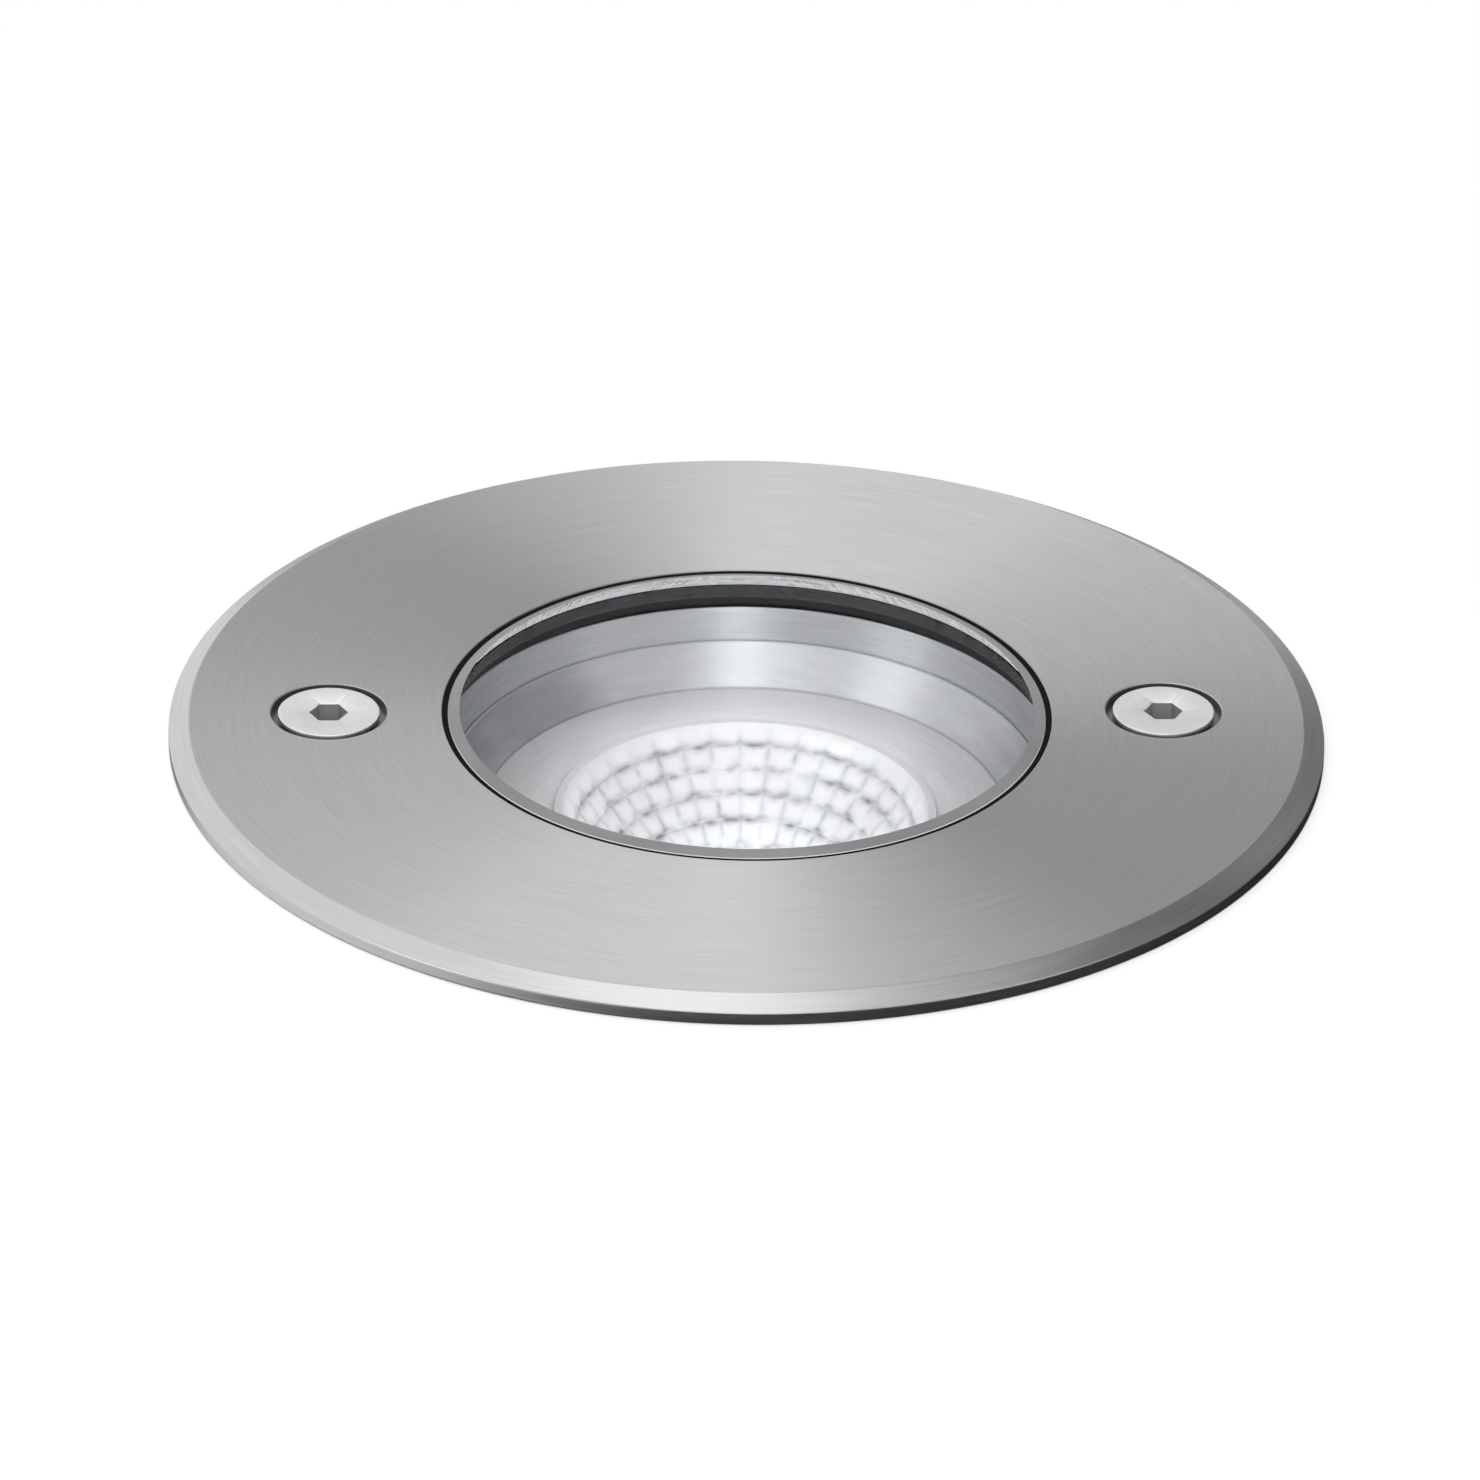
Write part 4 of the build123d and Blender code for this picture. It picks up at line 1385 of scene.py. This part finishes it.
class GROUNDLIGHT_OT_stage(bpy.types.Operator):
    """Set the camera, the lamps, the white surroundings and the pale ground"""

    bl_idname = "groundlight.stage"
    bl_label = "Stage"

    def execute(self, context):
        s = settings("stage")
        context.scene.view_settings.view_transform = "Standard"
        self.camera(context.scene, s)
        self.world(context.scene, s)
        self.lamps(s)
        self.ground(s)
        self.shades()
        return {"FINISHED"}

    def camera(self, scene, s):
        """The photograph's view of the trim."""
        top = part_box("trim_ring")[1].z
        data = bpy.data.cameras.new("camera")
        data.lens = s.lens
        data.clip_start, data.clip_end = 0.01, 100
        eye = bpy.data.objects.new("camera", data)
        level = s.distance * cos(s.elevation)
        place = Vector((sin(s.azimuth) * level, -cos(s.azimuth) * level, s.distance * sin(s.elevation)))
        place.z += top
        sight = Vector((s.aim_x, s.aim_y, top)) - place
        turned_eye = sight.to_track_quat("-Z", "Y").to_matrix() @ Matrix.Rotation(s.roll, 3, "Z")
        eye.matrix_world = Matrix.Translation(place) @ turned_eye.to_4x4()
        scene.collection.objects.link(eye)
        scene.camera = eye

    def world(self, scene, s):
        """White to the camera, to mirrors and through glass, and softer as light."""
        scene.world = bpy.data.worlds.new("surroundings")
        tree = emptied(scene.world)
        white, soft = [
            value(tree, "ShaderNodeBackground", {"Color": (1, 1, 1, 1), "Strength": strength})
            for strength in (1.0, s.ambient)
        ]
        mixed = value(tree, "ShaderNodeMixShader", {0: seen_directly(tree), 1: soft, 2: white})
        show(tree, mixed, "ShaderNodeOutputWorld")

    def lamps(self, s):
        """Soft lamps overhead, at the left, in front and behind, and a weak disc under the glass.

        The disc stands for the light that the glass throws back, and no mirror sees it."""
        lamp("overhead_lamp", s.overhead, 1.2, 0.5, (-0.12, 0.0, 1.2))
        lamp("side_lamp", s.side, 0.5, 0.5, (-1.0, -0.5, 0.55))
        lamp("front_lamp", s.front, 0.5, 0.7, (0.02, -0.62, 1.0))
        lamp("low_lamp", s.low, 0.26, 0.3, (0.02, -1.0, 0.3))
        lamp("back_lamp", s.back, 0.5, 0.6, (-0.03, 0.62, 1.0))
        low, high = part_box("glass_lens")
        bounce = new_lamp("bounce_lamp", s.bounce, "DISK", high.x * 1.2)
        bounce.location = (0.0, high.x * 0.15, low.z * 1.5)
        bounce.visible_camera = bounce.visible_glossy = bounce.visible_transmission = False

    def ground(self, s):
        """A fan of pale ground in front, with a hole for the sleeve, so the body shows from behind."""
        bm = bmesh.new()
        rows = [s.ground_hole, s.ground_hole * 1.3, s.ground / 2, s.ground]
        steps = 96
        turns = [s.ground_start + s.ground_sweep * step / steps for step in range(steps + 1)]
        loops = [[bm.verts.new((r * cos(t), r * sin(t), s.ground_level)) for t in turns] for r in rows]
        for inner, outer in zip(loops, loops[1:]):
            for index in range(len(turns) - 1):
                bm.faces.new((inner[index], outer[index], outer[index + 1], inner[index + 1]))
        card = stage_card(bm, "ground", pale_ground(s.paper, s.paper_glow))
        card.visible_glossy = False

    def shades(self):
        """Cards that only mirrors see: the dark ground below, and the dimmer sides and top of the studio."""
        levels = {"dark": 0.01, "dim": 0.1, "grey": 0.6, "mid": 0.18}
        tones = {name: shade_finish(name + "_shade", level) for name, level in levels.items()}
        shade("ground_shade", tones["dark"], (0.655, 0, -0.12), (0, 0, 1), 1.69, 3.0)
        shade("back_shade", tones["dark"], (0.04, 1.0, 0.54), (0, -1, -0.54), 0.24, 0.26)
        shade("front_shade", tones["dark"], (0, -1.0, 0.15), (0, 1, 0), 2.2, 0.36)
        shade("right_shade", tones["dim"], (0.72, 0.36, 0.9), (-0.72, -0.36, -0.9), 0.7, 0.7)
        shade("far_shade", tones["mid"], (0.45, 0.45, 0.2), (0, -1, 0), 0.5, 0.4)
        shade("low_shade", tones["mid"], (1.1, 0.2, 0.45), (-1, 0, 0), 1.4, 0.9)
        shade("top_shade", tones["grey"], (1.3, 0, 1.6), (0, 0, -1), 2.0, 3.0)


def new_lamp(name, power, shape, width):
    """A lamp with a surface, at the origin."""
    data = bpy.data.lights.new(name, "AREA")
    data.energy = power
    data.shape = shape
    data.size = width
    made = bpy.data.objects.new(name, data)
    bpy.context.collection.objects.link(made)
    return made


def lamp(name, power, width, height, place):
    """A soft lamp that faces the object."""
    made = new_lamp(name, power, "RECTANGLE", width)
    made.data.size_y = height
    facing = (-Vector(place)).to_track_quat("-Z", "Y").to_matrix().to_4x4()
    made.matrix_world = Matrix.Translation(place) @ facing


def stage_card(bm, name, material):
    """A piece of the stage."""
    mesh = plain_mesh(bm, name)
    mesh.materials.append(material)
    card = loose(mesh)
    return card


def shade(name, material, place, facing, width, height):
    """A card that only mirrors see."""
    bm = bmesh.new()
    bmesh.ops.create_grid(bm, x_segments=1, y_segments=1, size=0.5)
    turned_card = Vector(facing).to_track_quat("Z", "Y").to_matrix().to_4x4()
    bm.transform(Matrix.Translation(place) @ turned_card @ Matrix.Diagonal((width, height, 1, 1)))
    card = stage_card(bm, name, material)
    card.visible_camera = card.visible_diffuse = card.visible_shadow = False


class GROUNDLIGHT_PT_panel(bpy.types.Panel):
    """Lists the pieces and their settings"""

    bl_label = "Ground light"
    bl_idname = "GROUNDLIGHT_PT_panel"
    bl_space_type = "VIEW_3D"
    bl_region_type = "UI"
    bl_category = "Ground light"

    def draw(self, context):
        for operator in OPERATORS:
            self.layout.operator(operator.bl_idname)
        for name in SETTINGS:
            group = settings(name)
            box = self.layout.box()
            box.label(text=name.capitalize())
            for key in group.bl_rna.properties.keys():
                if key not in ("rna_type", "name"):
                    box.prop(group, key)


SETTINGS = {
    "trim": TrimSettings,
    "screws": ScrewSettings,
    "glass": GlassSettings,
    "lamp": LampSettings,
    "reflector": ReflectorSettings,
    "inner": InnerSettings,
    "base": BaseSettings,
    "sleeve": SleeveSettings,
    "stage": StageSettings,
}

OPERATORS = (
    GROUNDLIGHT_OT_trim,
    GROUNDLIGHT_OT_glass,
    GROUNDLIGHT_OT_screws,
    GROUNDLIGHT_OT_lamp_body,
    GROUNDLIGHT_OT_reflector,
    GROUNDLIGHT_OT_inner_parts,
    GROUNDLIGHT_OT_base,
    GROUNDLIGHT_OT_sleeve,
    GROUNDLIGHT_OT_stage,
)


def register():
    """Registers the settings, operators and panel."""
    for name, group in SETTINGS.items():
        bpy.utils.register_class(group)
        setattr(bpy.types.Scene, "groundlight_" + name, PointerProperty(type=group))
    for made in (*OPERATORS, GROUNDLIGHT_PT_panel):
        bpy.utils.register_class(made)


def unregister():
    """Removes them again."""
    for made in (GROUNDLIGHT_PT_panel, *reversed(OPERATORS)):
        bpy.utils.unregister_class(made)
    for name, group in reversed(SETTINGS.items()):
        delattr(bpy.types.Scene, "groundlight_" + name)
        bpy.utils.unregister_class(group)


def main():
    """Makes every piece and the stage."""
    register()
    bpy.ops.groundlight.trim()
    bpy.ops.groundlight.glass()
    bpy.ops.groundlight.screws()
    bpy.ops.groundlight.lamp_body()
    bpy.ops.groundlight.reflector()
    bpy.ops.groundlight.inner_parts()
    bpy.ops.groundlight.base()
    bpy.ops.groundlight.sleeve()
    bpy.ops.groundlight.stage()


if __name__ == "__main__":
    main()
